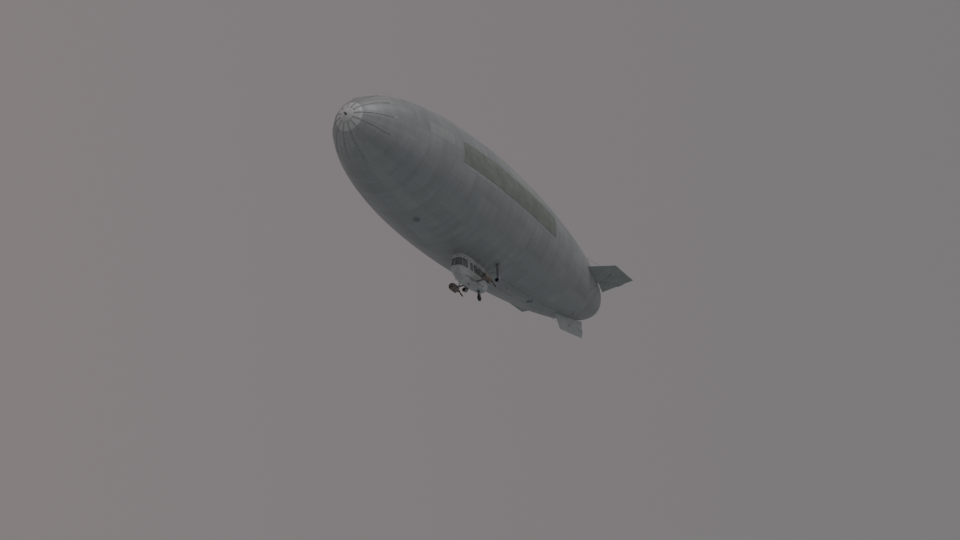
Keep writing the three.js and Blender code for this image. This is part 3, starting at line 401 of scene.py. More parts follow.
def whiteTip(tree, place, cloth):  # the tip of the nose is brushed over with white dope, up to a round edge
    x = addNode(tree, "ShaderNodeSeparateXYZ", [place])
    edge = addNode(tree, "ShaderNodeMapRange", {"Value": x, "From Min": 13.31, "From Max": 13.34})
    thin = addNode(tree, "ShaderNodeTexNoise", {"Vector": place, "Scale": perMetre(500), **detail[4]})
    dope = addNode(tree, "ShaderNodeValToRGB", [thin], [(0.3, "dfe0df"), (0.7, "eaeae9")])
    return addNode(tree, "ShaderNodeMix", {0: edge, 6: cloth, 7: dope}, **mixed).outputs[2]


def aluminisedCloth():
    # Neoprene-coated polyester, aluminised and glued in panels: dull silver, each panel a shade apart
    material, tree, shader, place = startMaterial("aluminisedCloth", "b9bcbe", 0.5, 0.2)
    parts = addNode(tree, "ShaderNodeSeparateXYZ", [place]).outputs
    clock = addNode(tree, "ShaderNodeMath", [parts[2], parts[1]], operation="ARCTAN2")
    gore = addNode(tree, "ShaderNodeMath", [clock, hull["gores"] / (2 * math.pi)], operation="MULTIPLY")
    goreIndex = addNode(tree, "ShaderNodeMath", [gore], operation="FLOOR")
    odd = addNode(tree, "ShaderNodeMath", [goreIndex, 1.0], operation="PINGPONG")
    halfOdd = addNode(tree, "ShaderNodeMath", [odd, 0.5], operation="MULTIPLY")
    perPanel = perMetre(hull["panelLength"])
    bolt = addNode(tree, "ShaderNodeMath", [parts[0], perPanel, halfOdd], operation="MULTIPLY_ADD")
    boltIndex = addNode(tree, "ShaderNodeMath", [bolt], operation="FLOOR")
    panel = addNode(tree, "ShaderNodeCombineXYZ", [goreIndex, boltIndex])
    shade = addNode(tree, "ShaderNodeTexWhiteNoise", [panel], noise_dimensions="2D")
    shade = addNode(tree, "ShaderNodeMath", [shade, 0.3], operation="MULTIPLY")
    cloud = addNode(tree, "ShaderNodeTexNoise", {"Vector": place, "Scale": perMetre(2600), **detail[5]})
    mix = addNode(tree, "ShaderNodeMath", [cloud, 0.7, shade], operation="MULTIPLY_ADD")
    cloth = addNode(tree, "ShaderNodeValToRGB", [mix], [(0.25, "aab0b1"), (0.5, "b9bcbe"), (0.75, "c5c7c7")])
    # Rain carries the dust down the flanks in long streaks round the hull
    drawn = addNode(tree, "ShaderNodeMapping", {"Vector": place, "Scale": (2.6, 0.35, 0.35)})
    streaks = {"Vector": drawn, "Scale": perMetre(900), "Detail": 6, "Roughness": 0.6}
    streak = addNode(tree, "ShaderNodeTexNoise", streaks)
    dust = addNode(tree, "ShaderNodeValToRGB", [streak], [(0.4, "ffffff"), (0.72, "dedcd6")])
    cloth = addNode(tree, "ShaderNodeMix", {0: 0.5, 6: cloth, 7: dust}, **multiplied).outputs[2]
    cloth = whiteTip(tree, place, cloth)
    # A lap seam is a darker line where each panel is glued to the next
    lap = addNode(tree, "ShaderNodeMath", [bolt, 0.5], operation="PINGPONG")
    seam = addNode(tree, "ShaderNodeMath", [lap, 12 / hull["panelLength"]], operation="LESS_THAN")
    faint = addNode(tree, "ShaderNodeMath", [seam, 0.25], operation="MULTIPLY")
    cloth = addNode(tree, "ShaderNodeMix", {0: faint, 6: cloth, 7: "5e6264"}, **mixed).outputs[2]
    gloss = addNode(tree, "ShaderNodeMapRange", {"Value": cloud, "To Min": 0.4, "To Max": 0.6})
    # The weave is drawn as a ripple 260 mm across, because its real thread is far too fine to show
    ripple = addNode(tree, "ShaderNodeTexNoise", {"Vector": place, "Scale": perMetre(260), **detail[4]})
    height = addNode(tree, "ShaderNodeMath", [seam, -0.6, ripple], operation="MULTIPLY_ADD")
    bump = addNode(tree, "ShaderNodeBump", {"Height": height, "Distance": 0.005, "Strength": 0.5})
    feed(tree, shader, {"Base Color": cloth, "Roughness": gloss, "Normal": bump})
    return material


def dopedCloth(name, tones):  # the tones go from worn to fresh
    # Doped cotton on a frame of ribs: the same silver, flatter and a little darker where the dope has worn
    material, tree, shader, place = startMaterial(name, tones[1], 0.6, 0.15)
    worn = addNode(tree, "ShaderNodeTexNoise", {"Vector": place, "Scale": perMetre(700), **detail[5]})
    cloth = addNode(tree, "ShaderNodeValToRGB", [worn], list(zip((0.3, 0.55, 0.75), tones)))
    speck = addNode(tree, "ShaderNodeTexNoise", {"Vector": place, "Scale": perMetre(90), **detail[3]})
    specks = addNode(tree, "ShaderNodeValToRGB", [speck], [(0.35, "d8d6d0"), (0.6, "ffffff")])
    cloth = addNode(tree, "ShaderNodeMix", {0: 0.25, 6: cloth, 7: specks}, **multiplied).outputs[2]
    ripple = addNode(tree, "ShaderNodeTexNoise", {"Vector": place, "Scale": perMetre(140), **detail[3]})
    bump = addNode(tree, "ShaderNodeBump", {"Height": ripple, "Distance": 0.003, "Strength": 0.4})
    feed(tree, shader, {"Base Color": cloth, "Normal": bump})
    return material


def seamTape():
    # Coated cotton tape glued over the gore seams, smoother and greyer than the cloth under it
    material, tree, shader, place = startMaterial("seamTape", "b7bbbb", 0.55, 0.2)
    worn = addNode(tree, "ShaderNodeTexNoise", {"Vector": place, "Scale": perMetre(500), **detail[4]})
    tape = addNode(tree, "ShaderNodeValToRGB", [worn], [(0.3, "aeb2b3"), (0.7, "bec1c1")])
    ripple = addNode(tree, "ShaderNodeTexNoise", {"Vector": place, "Scale": perMetre(60), **detail[2]})
    bump = addNode(tree, "ShaderNodeBump", {"Height": ripple, "Distance": 0.001, "Strength": 0.4})
    feed(tree, shader, {"Base Color": whiteTip(tree, place, tape), "Normal": bump})
    return material


def bandDope():
    # Olive dope brushed on the flank as a plain stripe, thin enough that the silver shows through in places
    material, tree, shader, place = startMaterial("bandDope", "969994", 0.65, 0.05)
    drawn = addNode(tree, "ShaderNodeMapping", {"Vector": place, "Scale": (1, 1, 1.4)})
    thin = addNode(tree, "ShaderNodeTexNoise", {"Vector": drawn, "Scale": perMetre(750), **detail[5]})
    tone = addNode(tree, "ShaderNodeValToRGB", [thin], [(0.3, "878c85"), (0.55, "979b95"), (0.8, "aaaeab")])
    ripple = addNode(tree, "ShaderNodeTexNoise", {"Vector": place, "Scale": perMetre(120), **detail[3]})
    bump = addNode(tree, "ShaderNodeBump", {"Height": ripple, "Distance": 0.002, "Strength": 0.4})
    feed(tree, shader, {"Base Color": tone, "Normal": bump})
    return material


def paintedMetal(name, colour, wornColour, roughness, metallic=0.1, grime=0.3):
    # Satin enamel on sheet or tube: even, with handling wear and a film of oily grime
    material, tree, shader, place = startMaterial(name, colour, roughness, metallic)
    handled = {"Vector": place, "Scale": perMetre(180), "Detail": 6, "Roughness": 0.65}
    wear = addNode(tree, "ShaderNodeTexNoise", handled)
    worn = addNode(tree, "ShaderNodeValToRGB", [wear], [(0.55, "000000"), (0.78, "ffffff")])
    paint = addNode(tree, "ShaderNodeMix", {0: worn, 6: colour, 7: wornColour}, **mixed).outputs[2]
    drawn = addNode(tree, "ShaderNodeMapping", {"Vector": place, "Scale": (1, 1, 0.3)})
    film = addNode(tree, "ShaderNodeTexNoise", {"Vector": drawn, "Scale": perMetre(600), **detail[4]})
    dirt = addNode(tree, "ShaderNodeValToRGB", [film], [(0.35, "a09a90"), (0.65, "ffffff")])
    paint = addNode(tree, "ShaderNodeMix", {0: grime, 6: paint, 7: dirt}, **multiplied).outputs[2]
    shine = {"Value": film, "To Min": roughness - 0.1, "To Max": roughness + 0.15}
    gloss = addNode(tree, "ShaderNodeMapRange", shine)
    flow = addNode(tree, "ShaderNodeTexNoise", {"Vector": place, "Scale": perMetre(40), **detail[3]})
    bump = addNode(tree, "ShaderNodeBump", {"Height": flow, "Distance": 0.0006, "Strength": 0.35})
    feed(tree, shader, {"Base Color": paint, "Roughness": gloss, "Normal": bump})
    return material


def bareMetal(name, colour, stainColour, roughness, grain=(1, 1, 1), size=120):
    # Sheet or drawn metal, its brushing drawn coarse enough to show, dulled by weather
    material, tree, shader, place = startMaterial(name, colour, roughness, 0.9)
    drawn = addNode(tree, "ShaderNodeMapping", {"Vector": place, "Scale": grain})
    brushing = {"Vector": drawn, "Scale": perMetre(size), "Detail": 5, "Roughness": 0.6}
    brushed = addNode(tree, "ShaderNodeTexNoise", brushing)
    tone = addNode(tree, "ShaderNodeValToRGB", [brushed], [(0.3, stainColour), (0.6, colour)])
    shine = {"Value": brushed, "To Min": roughness, "To Max": roughness + 0.2}
    gloss = addNode(tree, "ShaderNodeMapRange", shine)
    bump = addNode(tree, "ShaderNodeBump", {"Height": brushed, "Distance": 0.0004, "Strength": 0.3})
    feed(tree, shader, {"Base Color": tone, "Roughness": gloss, "Normal": bump})
    return material


def rubber(name, colour, roughness=0.8):
    # Vulcanised rubber: matt black, greyed by dust
    material, tree, shader, place = startMaterial(name, colour, roughness)
    dust = addNode(tree, "ShaderNodeTexNoise", {"Vector": place, "Scale": perMetre(60), **detail[5]})
    tone = addNode(tree, "ShaderNodeValToRGB", [dust], [(0.4, colour), (0.75, "4a4742")])
    grit = addNode(tree, "ShaderNodeTexNoise", {"Vector": place, "Scale": perMetre(8), **detail[3]})
    bump = addNode(tree, "ShaderNodeBump", {"Height": grit, "Distance": 0.0005, "Strength": 0.4})
    feed(tree, shader, {"Base Color": tone, "Normal": bump})
    return material


def clearAcrylic():
    # Clear acrylic sheet, weathered: glossy, with a pale haze in patches
    material, tree, shader, place = startMaterial("clearAcrylic", "dfe4e5", 0.05)
    drawn = addNode(tree, "ShaderNodeMapping", {"Vector": place, "Scale": (1, 1, 3)})
    haze = addNode(tree, "ShaderNodeTexNoise", {"Vector": drawn, "Scale": perMetre(160), **detail[5]})
    gloss = addNode(tree, "ShaderNodeMapRange", {"Value": haze, "To Min": 0.03, "To Max": 0.14})
    feed(tree, shader, {"Transmission Weight": 0.8, "IOR": 1.49, "Roughness": gloss})
    return material


def lampLens(name, colour, glow):
    # Moulded glass lens over a small lamp, with fine flutes inside, 4 mm apart
    material, tree, shader, place = startMaterial(name, colour, 0.15)
    ribbing = {"Vector": place, "Scale": wavesPerMetre(3.77)}
    flutes = addNode(tree, "ShaderNodeTexWave", ribbing, bands_direction="Z").outputs["Fac"]
    bump = addNode(tree, "ShaderNodeBump", {"Height": flutes, "Distance": 0.001, "Strength": 0.5})
    feed(tree, shader, {"Emission Color": colour, "Emission Strength": glow, "Normal": bump})
    return material


def wovenSeat():
    # Coarse brown wool cloth, its weave drawn 8 mm apart so that it shows
    material, tree, shader, place = startMaterial("woolCloth", "4d3a30", 0.95)
    threads = {"Vector": place, "Scale": wavesPerMetre(7.89)}
    warp = addNode(tree, "ShaderNodeTexWave", threads, bands_direction="Y").outputs["Fac"]
    weft = addNode(tree, "ShaderNodeTexWave", threads, bands_direction="X").outputs["Fac"]
    weave = addNode(tree, "ShaderNodeMath", [warp, weft], operation="MULTIPLY")
    worn = addNode(tree, "ShaderNodeTexNoise", {"Vector": place, "Scale": perMetre(120), **detail[4]})
    worn = addNode(tree, "ShaderNodeMath", [worn, 0.6], operation="MULTIPLY")
    mix = addNode(tree, "ShaderNodeMath", [weave, 0.4, worn], operation="MULTIPLY_ADD")
    wool = addNode(tree, "ShaderNodeValToRGB", [mix], [(0.15, "3b2b23"), (0.7, "63493b")])
    bump = addNode(tree, "ShaderNodeBump", {"Height": weave, "Distance": 0.001, "Strength": 0.6})
    feed(tree, shader, {"Base Color": wool, "Sheen Weight": 0.4, "Normal": bump})
    return material


def darkPlastic():
    # Moulded black plastic with a fine leather-like grain
    material, tree, shader, place = startMaterial("mouldedPlastic", "26282a", 0.6)
    grain = addNode(tree, "ShaderNodeTexNoise", {"Vector": place, "Scale": perMetre(6), **detail[3]})
    tone = addNode(tree, "ShaderNodeValToRGB", [grain], [(0.3, "202224"), (0.7, "2d3032")])
    bump = addNode(tree, "ShaderNodeBump", {"Height": grain, "Distance": 0.0003, "Strength": 0.5})
    feed(tree, shader, {"Base Color": tone, "Normal": bump})
    return material


def floorMat():
    # Ribbed rubber matting glued to plywood, its ribs 24 mm apart along the aisle
    material, tree, shader, place = startMaterial("ribbedMatting", "4a4846", 0.8)
    ribbing = {"Vector": place, "Scale": wavesPerMetre(23.675)}
    ribs = addNode(tree, "ShaderNodeTexWave", ribbing, bands_direction="Y").outputs["Fac"]
    scuff = addNode(tree, "ShaderNodeTexNoise", {"Vector": place, "Scale": perMetre(240), **detail[5]})
    tone = addNode(tree, "ShaderNodeValToRGB", [scuff], [(0.35, "3e3c3a"), (0.7, "5a5753")])
    bump = addNode(tree, "ShaderNodeBump", {"Height": ribs, "Distance": 0.0015, "Strength": 0.6})
    feed(tree, shader, {"Base Color": tone, "Normal": bump})
    return material


hullCloth = aluminisedCloth()
finCloth = dopedCloth("dopedCloth", ("adb1b1", "bbbfbf", "c5c7c6"))
# The top and bottom fins get a paler copy of the doped cloth: painted light, standing in for the light that
# falls on them
finClothPaintedLight = dopedCloth("dopedClothPaintedLight", ("c8cdcd", "d9dddd", "e4e6e5"))
tapeCloth = seamTape()
stripeDope = bandDope()
nosePaint = paintedMetal("noseEnamel", "e3e4e3", "d0d1d0", 0.42, 0.05, 0.2)
battenPaint = paintedMetal("battenEnamel", "b9bcbd", "a9acad", 0.45, 0.1, 0.2)
tailMetal = bareMetal("tailAluminium", "b9bbbc", "9c9fa1", 0.42, (1, 1, 1), 300)
steelWire = bareMetal("galvanisedWire", "7d8184", "5c6064", 0.45, (4, 4, 4), 40)
carPaint = paintedMetal("carEnamel", "e6e8e9", "eeefee", 0.42, 0.15, 0.35)
strutPaint = paintedMetal("strutEnamel", "77797c", "8d8f91", 0.45, 0.2, 0.4)
nacellePaint = paintedMetal("nacelleEnamel", "a3968f", "b0a5a0", 0.45, 0.15, 0.6)
propellerPaint = paintedMetal("propellerVarnish", "2d2320", "4a3a33", 0.35, 0.0, 0.4)
castMetal = bareMetal("castAluminium", "6c6e6f", "47494a", 0.6, (1, 1, 1), 30)
hotSteel = bareMetal("heatStainedSteel", "6a554b", "4a3a36", 0.5, (1, 1, 1), 60)
scoopMetal = bareMetal("scoopAluminium", "b0b2b4", "94979a", 0.4, (1, 1, 3), 200)
tyreRubber = rubber("tyreRubber", "1d1c1b")
sealRubber = rubber("sealRubber", "232425", 0.6)
acrylic = clearAcrylic()
clearLens = lampLens("clearLens", "b9b8b2", 0.0)
redLens = lampLens("redLens", "8c241c", 0.02)
greenLens = lampLens("greenLens", "1b6e3d", 0.02)
seatWool = wovenSeat()
panelPlastic = darkPlastic()
matting = floorMat()
print("materials made")


# Envelope
def fullness(share):
    return share * (1 - share) * (1 - 0.873 * share + 0.401 * share * share)


def radiusAt(x):
    share = (hull["noseX"] - x) / hull["length"]
    return hull["radius"] * math.sqrt(max(fullness(share), 0) / fullness(hull["fullestAt"]))


def onHull(x, clock, proud=0.0):  # the clock is in degrees, 0 to port and 90 up
    reach = radiusAt(x) + proud
    return Vector((x, reach * math.cos(math.radians(clock)), reach * math.sin(math.radians(clock))))


def stationAt(share):  # x at a share of the way from nose to tail, closer together at both ends
    return hull["noseX"] - hull["length"] * (1 - math.cos(math.pi * share)) / 2


envelope = {
    "stations": 72, "stepsPerGore": 4, "lift": {1: 0.005, 2: 0.008, 3: 0.005}, "tapeTurn": 0.9,
    "tapeThick": 0.004,
}
stripe = {"from": 7.0, "to": -3.8, "low": -12.0, "high": 11.0, "thick": 0.003}


def makeEnvelope():
    stations = envelope["stations"]
    xs = [stationAt(k / stations) for k in range(stations + 1)]
    perGore = envelope["stepsPerGore"]
    skin = lathe("envelope_skin", [(x, radiusAt(x)) for x in xs], steps=hull["gores"] * perGore)
    for step, lift in envelope["lift"].items():  # the gas pushes each gore out between its seams

        def between(vertex):
            turn = math.atan2(vertex.co.z, vertex.co.y) / (2 * math.pi) * hull["gores"] * perGore
            return round(turn) % perGore == step and math.hypot(vertex.co.y, vertex.co.z) > 0.9

        selectWhere(skin, "VERT", between)
        bpy.ops.transform.shrink_fatten(value=lift)
        bpy.ops.object.mode_set(mode="OBJECT")
    finishPiece(skin, hullCloth, smooth=60)
    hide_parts("envelope")

    shorter = [x for x in xs if radiusAt(x) > 0.3]
    half = math.radians(envelope["tapeTurn"] / 2)
    tape = drawLine("gore_tapes", [onHull(x, -envelope["tapeTurn"] / 2, 0.002) for x in shorter])
    bpy.ops.mesh.spin(steps=1, angle=half * 2, center=(0, 0, 0), axis=(1, 0, 0))
    cleanUp(tape)
    applyModifier(tape, "SOLIDIFY", thickness=envelope["tapeThick"], offset=0)
    spinCopies(tape, hull["gores"])
    finishPiece(tape, tapeCloth, smooth=60)


def makeStripe(name, top):  # drawn along its edge with the higher clock and spun down from it
    length = stripe["from"] - stripe["to"]
    piece = drawLine(name, [onHull(stripe["from"] - length * k / 32, top, 0.012) for k in range(33)])
    turn = math.radians(stripe["high"] - stripe["low"])
    bpy.ops.mesh.spin(steps=16, angle=turn, center=(0, 0, 0), axis=(1, 0, 0))
    cleanUp(piece)
    applyModifier(piece, "SOLIDIFY", thickness=stripe["thick"], offset=0)
    finishPiece(piece, stripeDope, smooth=60)


makeEnvelope()
makeStripe("flank_stripe_port", stripe["high"])
makeStripe("flank_stripe_starboard", 180 - stripe["low"])
print("envelope made")

# Nose and tail
nose = {
    "battens": 12, "battenWidth": 0.06, "battenDepth": 0.024, "battenEnd": 12.02, "coverWidth": 0.17,
    "lacings": 8, "spindleFoot": 0.0603,
}


def stripAlong(name, xs, width, low, high):  # a strip along the hull at port, between two heights above it
    piece = drawLine(name, [onHull(x, 0, low) - Vector((0, 0, width / 2)) for x in xs])
    bpy.ops.mesh.extrude_region_move(TRANSFORM_OT_translate={"value": (0, 0, width)})
    cleanUp(piece)
    thick = high - low
    applyModifier(piece, "SOLIDIFY", thickness=thick, offset=1 if piece.data.polygons[0].normal.y > 0 else -1)
    cleanUp(piece)
    return piece


def makeNose():
    x = hull["noseX"]
    rim = [
        (-0.15, 0.38), (-0.15, 0.395), (-0.13, 0.4), (-0.03, 0.4), (-0.018, 0.385), (0.01, 0.315),
        (0.034, 0.225),
    ]
    crown = [(0.05, 0.14), (0.058, 0.085), (0.06, 0.07), (0.06, 0.0)]
    dish = lathe("nose_dish_spun", [(x + place, radius) for place, radius in rim + crown], steps=48)
    reach = [stationAt(share) for share in (0.035, 0.05, 0.07, 0.09, 0.11, 0.13, 0.145)]
    xs = [x - 0.045] + [place for place in reach if place > nose["battenEnd"]] + [nose["battenEnd"]]
    batten = stripAlong("nose_battens", xs, nose["battenWidth"], 0.006, nose["battenDepth"])
    applyModifier(
        batten, "BEVEL", width=0.006, segments=2, limit_method="ANGLE", angle_limit=math.radians(50)
    )
    spinCopies(batten, nose["battens"])
    for piece, paint in ((dish, nosePaint), (batten, battenPaint)):
        finishPiece(piece, paint, smooth=40)
        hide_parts("nose_dish")

    cover = stripAlong("batten_covers", xs[1:] + [nose["battenEnd"] - 0.25], nose["coverWidth"], 0.002, 0.006)
    loops = []
    for k in range(nose["lacings"]):
        place = xs[1] + (nose["battenEnd"] - xs[1]) * (k + 0.5) / nose["lacings"]
        half = nose["battenWidth"] / 2 + 0.012
        steps = ((-half, 0.004), (-half * 0.7, 0.026), (half * 0.7, 0.026), (half, 0.004))
        path = [onHull(place, 0, lift) + Vector((0, 0, shift)) for shift, lift in steps]
        loops.append(tube(f"lacing_{k}", path, 0.004, 6))
    lacing = joined("batten_lacing", loops)
    spinCopies(cover, nose["battens"])
    spinCopies(lacing, nose["battens"])
    finishPiece(cover, tapeCloth, smooth=60)
    finishPiece(lacing, sealRubber, smooth=60)

    foot = x + nose["spindleFoot"]
    shape = [(0, 0), (0, 0.07), (0.012, 0.07), (0.014, 0.066), (0.014, 0.034), (0.02, 0.032), (0.108, 0.032)]
    shape += [(0.112, 0.035), (0.12, 0.047), (0.124, 0.048), (0.148, 0.048), (0.15, 0.046), (0.15, 0.0)]
    spindle = lathe("spindle", [(foot + place, radius) for place, radius in shape], steps=32)
    standIn("mooring_spindle", "_turned", [spindle], steelWire)

    tail = x - hull["length"]
    shape = [
        (-0.03, 0), (-0.029, 0.06), (-0.024, 0.104), (-0.012, 0.18), (0.0, 0.245), (0.006, 0.258),
        (0.014, 0.26),
    ]
    shape += [(0.088, 0.26), (0.09, 0.25), (0.06, 0.15), (0.04, 0.0)]
    cap = lathe("cap", [(tail + place, radius) for place, radius in shape], steps=40)
    standIn("tail_cap", "_spun", [cap], tailMetal)


makeNose()
print("nose and tail made")

# Fins, drawn lying to port and turned about X to their clock
fin = {
    "rootFore": (-9.7, 2.525),  # x and radius
    "rootAft": (-13.75, 1.6),
    "tipForeX": -10.65,
    "tipAftX": -13.3,
    "tipRadius": 4.05,
    "inner": 1.9,
    "hingeX": -12.25,
    "hingeGap": 0.06,
    "innerHalf": 0.07,
    "tipHalf": 0.038,
    "rearShare": 0.8,
    "section": ((0, 0.16), (0.015, 0.36), (0.1, 0.72), (0.4, 1), (1, 0.8)),
    "ribEvery": 0.26,
    "ribWidth": 0.022,
    "ribThick": 0.0035,
    "trailingHalf": 0.006,
    "innermostRib": 2.2,  # on the fixed fin
    "innermostRow": 2.15,  # on the moving surface
    "tipMargin": 0.12,
    "tabHalf": 0.24,
    "cordForeX": -9.62,
}
longTip = {"tipFore": 4.05, "tipAft": 4.05, "spread": 32}
shortTip = {"tipFore": 3.35, "tipAft": 2.96, "spread": 22}
finPlaces = [
    {"name": "top", "surface": "rudder_top", "clock": 90, **longTip},
    {"name": "port", "surface": "elevator_port", "clock": 0, **longTip},
    {"name": "starboard", "surface": "elevator_starboard", "clock": 180, **longTip},
    {"name": "bottom", "surface": "rudder_bottom", "clock": 270, **shortTip},
]


def edgeX(root, tipX, radius):
    return root[0] + (tipX - root[0]) * (radius - root[1]) / (fin["tipRadius"] - root[1])


def finHalf(radius):
    share = (radius - fin["inner"]) / (fin["tipRadius"] - fin["inner"])
    return fin["innerHalf"] + (fin["tipHalf"] - fin["innerHalf"]) * share


def tipAt(place, x):
    share = (x - fin["tipForeX"]) / (fin["tipAftX"] - fin["tipForeX"])
    return place["tipFore"] + (place["tipAft"] - place["tipFore"]) * share


def ribPath(radius, high):  # round the fixed fin's section, from one side of its rear to the other
    foreX, rearX = edgeX(fin["rootFore"], fin["tipForeX"], radius), fin["hingeX"] + fin["hingeGap"]
    upper = [
        (foreX + (rearX - foreX) * chord, finHalf(radius) * half + high) for chord, half in fin["section"]
    ]
    return [(x, -half) for x, half in reversed(upper)] + upper


def surfacePath(radius, high):  # on one side of the moving surface, from its thin edge to short of its hinge
    half = finHalf(radius) * fin["rearShare"]
    aftX = edgeX(fin["rootAft"], fin["tipAftX"], radius)
    return [(aftX + 0.012, fin["trailingHalf"] + high), (fin["hingeX"] - 0.045, half + high)]


def ribStrip(name, path, radius):
    low = radius - fin["ribWidth"] / 2
    piece = drawLine(name, [(x, low, z) for x, z in path])
    bpy.ops.mesh.extrude_region_move(TRANSFORM_OT_translate={"value": (0, fin["ribWidth"], 0)})
    bpy.ops.object.mode_set(mode="OBJECT")
    applyModifier(piece, "SOLIDIFY", thickness=fin["ribThick"], offset=0)
    cleanUp(piece)
    return piece


def finishOnFin(place, name, parts, material, body="hull", smooth=50):  # turned to the fin's clock
    whole = joined(name, parts)
    whole.rotation_euler.x = math.radians(place["clock"])
    return finishPiece(whole, material, body, smooth)


def makeFin(place):
    # the top and bottom fins take the paler copy of the cloth, whose extra brightness is painted light
    cloth = finCloth if place["name"] in ("port", "starboard") else finClothPaintedLight
    for node in ("fin_" + place["name"], place["surface"]):
        dressNode(node, cloth, bevel=0.006, smooth=40)
    rearX = fin["hingeX"] + fin["hingeGap"]
    ribs = []
    outermost = tipAt(place, rearX) - fin["tipMargin"]
    count = int((outermost - fin["innermostRib"]) / fin["ribEvery"])
    for k in range(count + 1):
        radius = outermost - fin["ribEvery"] * k
        foreX = edgeX(fin["rootFore"], fin["tipForeX"], radius)
        if radius < min(radiusAt(foreX) + 0.02, radiusAt(rearX) + 0.05):  # all of it inside the hull
            continue
        path = [(x, z) for x, z in ribPath(radius, 0.001) if radiusAt(x) < radius - 0.01]
        onOneSide = len(path) // 2
        for name, part in (("upper", path[onOneSide:]), ("lower", path[:onOneSide])):
            if len(part) > 1:
                ribs.append(ribStrip(f"rib_{k}_{name}", part, radius))
    if ribs:
        finishOnFin(place, "fin_ribs_" + place["name"], ribs, cloth)

    rows = []
    outermost = tipAt(place, fin["tipAftX"]) - fin["tipMargin"]
    for k in range(int((outermost - fin["innermostRow"]) / fin["ribEvery"]) + 1):
        radius = outermost - fin["ribEvery"] * k
        for turn in (1, -1):
            path = [(x, z * turn) for x, z in surfacePath(radius, 0.001)]
            rows.append(ribStrip(f"row_{k}_{turn}", path, radius))
    finishOnFin(place, place["surface"] + "_ribs", rows, cloth, place["surface"])

    # A trim tab let into the trailing edge and slanted with it, with its horn and push rod
    middle, half = (fin["innermostRow"] + outermost) / 2, fin["tabHalf"]
    aftX = edgeX(fin["rootAft"], fin["tipAftX"], middle)
    slant = edgeX(fin["rootAft"], fin["tipAftX"], middle + half) - aftX
    tab = block("tab", (aftX - 0.09, middle - half, -0.0045), (aftX + 0.03, middle + half, 0.0045), 0.002)
    for turn in (1, -1):
        selectWhere(tab, "VERT", lambda vertex: (tab.matrix_world @ vertex.co).y * turn > middle * turn)
        bpy.ops.transform.translate(value=(slant * turn, 0, 0))
        bpy.ops.object.mode_set(mode="OBJECT")
    finishOnFin(
        place, place["surface"] + "_tab_plate", [tab], cloth, place["surface"], smooth=40
    )
    horn = block(
        "tab_horn", (aftX - 0.02, middle - 0.004, -0.005), (aftX + 0.012, middle + 0.004, 0.05), 0.003
    )
    rod = tube("tab_rod", [(aftX - 0.004, middle, 0.045), (aftX + 0.5, middle, 0.06)], 0.005, 6)
    guide = block(
        "tab_guide", (aftX + 0.46, middle - 0.012, 0.0), (aftX + 0.52, middle + 0.012, 0.068), 0.004
    )
    parts = [horn, rod, guide]
    finishOnFin(
        place, place["surface"] + "_tab", parts, strutPaint, place["surface"], smooth=40
    )


def makeRootCords():  # the corded edge where each fixed fin meets the hull
    for place in finPlaces:
        cords = []
        for turn in (1, -1):
            points = []
            for k in range(15):
                x = fin["cordForeX"] + (fin["hingeX"] + fin["hingeGap"] - fin["cordForeX"]) * k / 14
                near = max(radiusAt(x), fin["inner"])
                foreX = edgeX(fin["rootFore"], fin["tipForeX"], near)
                share = min(max((foreX - x) / max(foreX - fin["hingeX"], 0.1), 0.0), 1.0)
                half = 0.004  # ahead of the fin
                if x < foreX:
                    half = finHalf(near) * (0.2 if share <= 0 else min(1.0, 0.36 + share * 2.2))
                lift = half + 0.012
                points.append((x, math.sqrt(max((radiusAt(x) + 0.014) ** 2 - lift**2, 0)), turn * lift))
            cords.append(tube("root_cord", points, 0.013, 8))
        finishOnFin(place, "root_cords_" + place["name"], cords, tapeCloth, smooth=60)


for place in finPlaces:
    makeFin(place)
makeRootCords()
print("fins made")

# Stays, their turnbuckles and the patches that take their load
stay = {"footX": -11.5, "share": 0.6, "lands": (-10.7, -12.0), "patch": 0.19}


def patchOn(name, x, clock, radius, sides=18):  # a glued load patch that follows the hull
    deselectAll()
    centre = onHull(x, clock, 0.02)
    bpy.ops.mesh.primitive_circle_add(vertices=sides, radius=radius, fill_type="TRIFAN", location=centre)
    piece = bpy.context.object
    piece.name = name
    piece.rotation_euler = Vector((0, centre.y, centre.z)).to_track_quat("Z", "X").to_euler()
    bpy.ops.object.transform_apply(location=True, rotation=True, scale=True)
    editAll(piece)
    bpy.ops.mesh.subdivide(number_cuts=2)
    bpy.ops.object.mode_set(mode="OBJECT")
    skin = bpy.data.objects["envelope_skin"]
    applyModifier(piece, "SHRINKWRAP", target=skin, wrap_method="NEAREST_SURFACEPOINT", offset=0.004)
    applyModifier(piece, "SOLIDIFY", thickness=0.004, offset=0)
    cleanUp(piece)
    return piece


def turnbuckleAt(name, place, direction):
    shape = [(-0.075, 0), (-0.075, 0.006), (-0.05, 0.008), (-0.045, 0.013), (-0.02, 0.013), (-0.012, 0.009)]
    shape += [(-place, radius) for place, radius in reversed(shape)]
    piece = lathe(name, shape, axis="Z", steps=10)
    piece.rotation_euler = Vector(direction).to_track_quat("Z", "X").to_euler()
    piece.location = place
    return piece


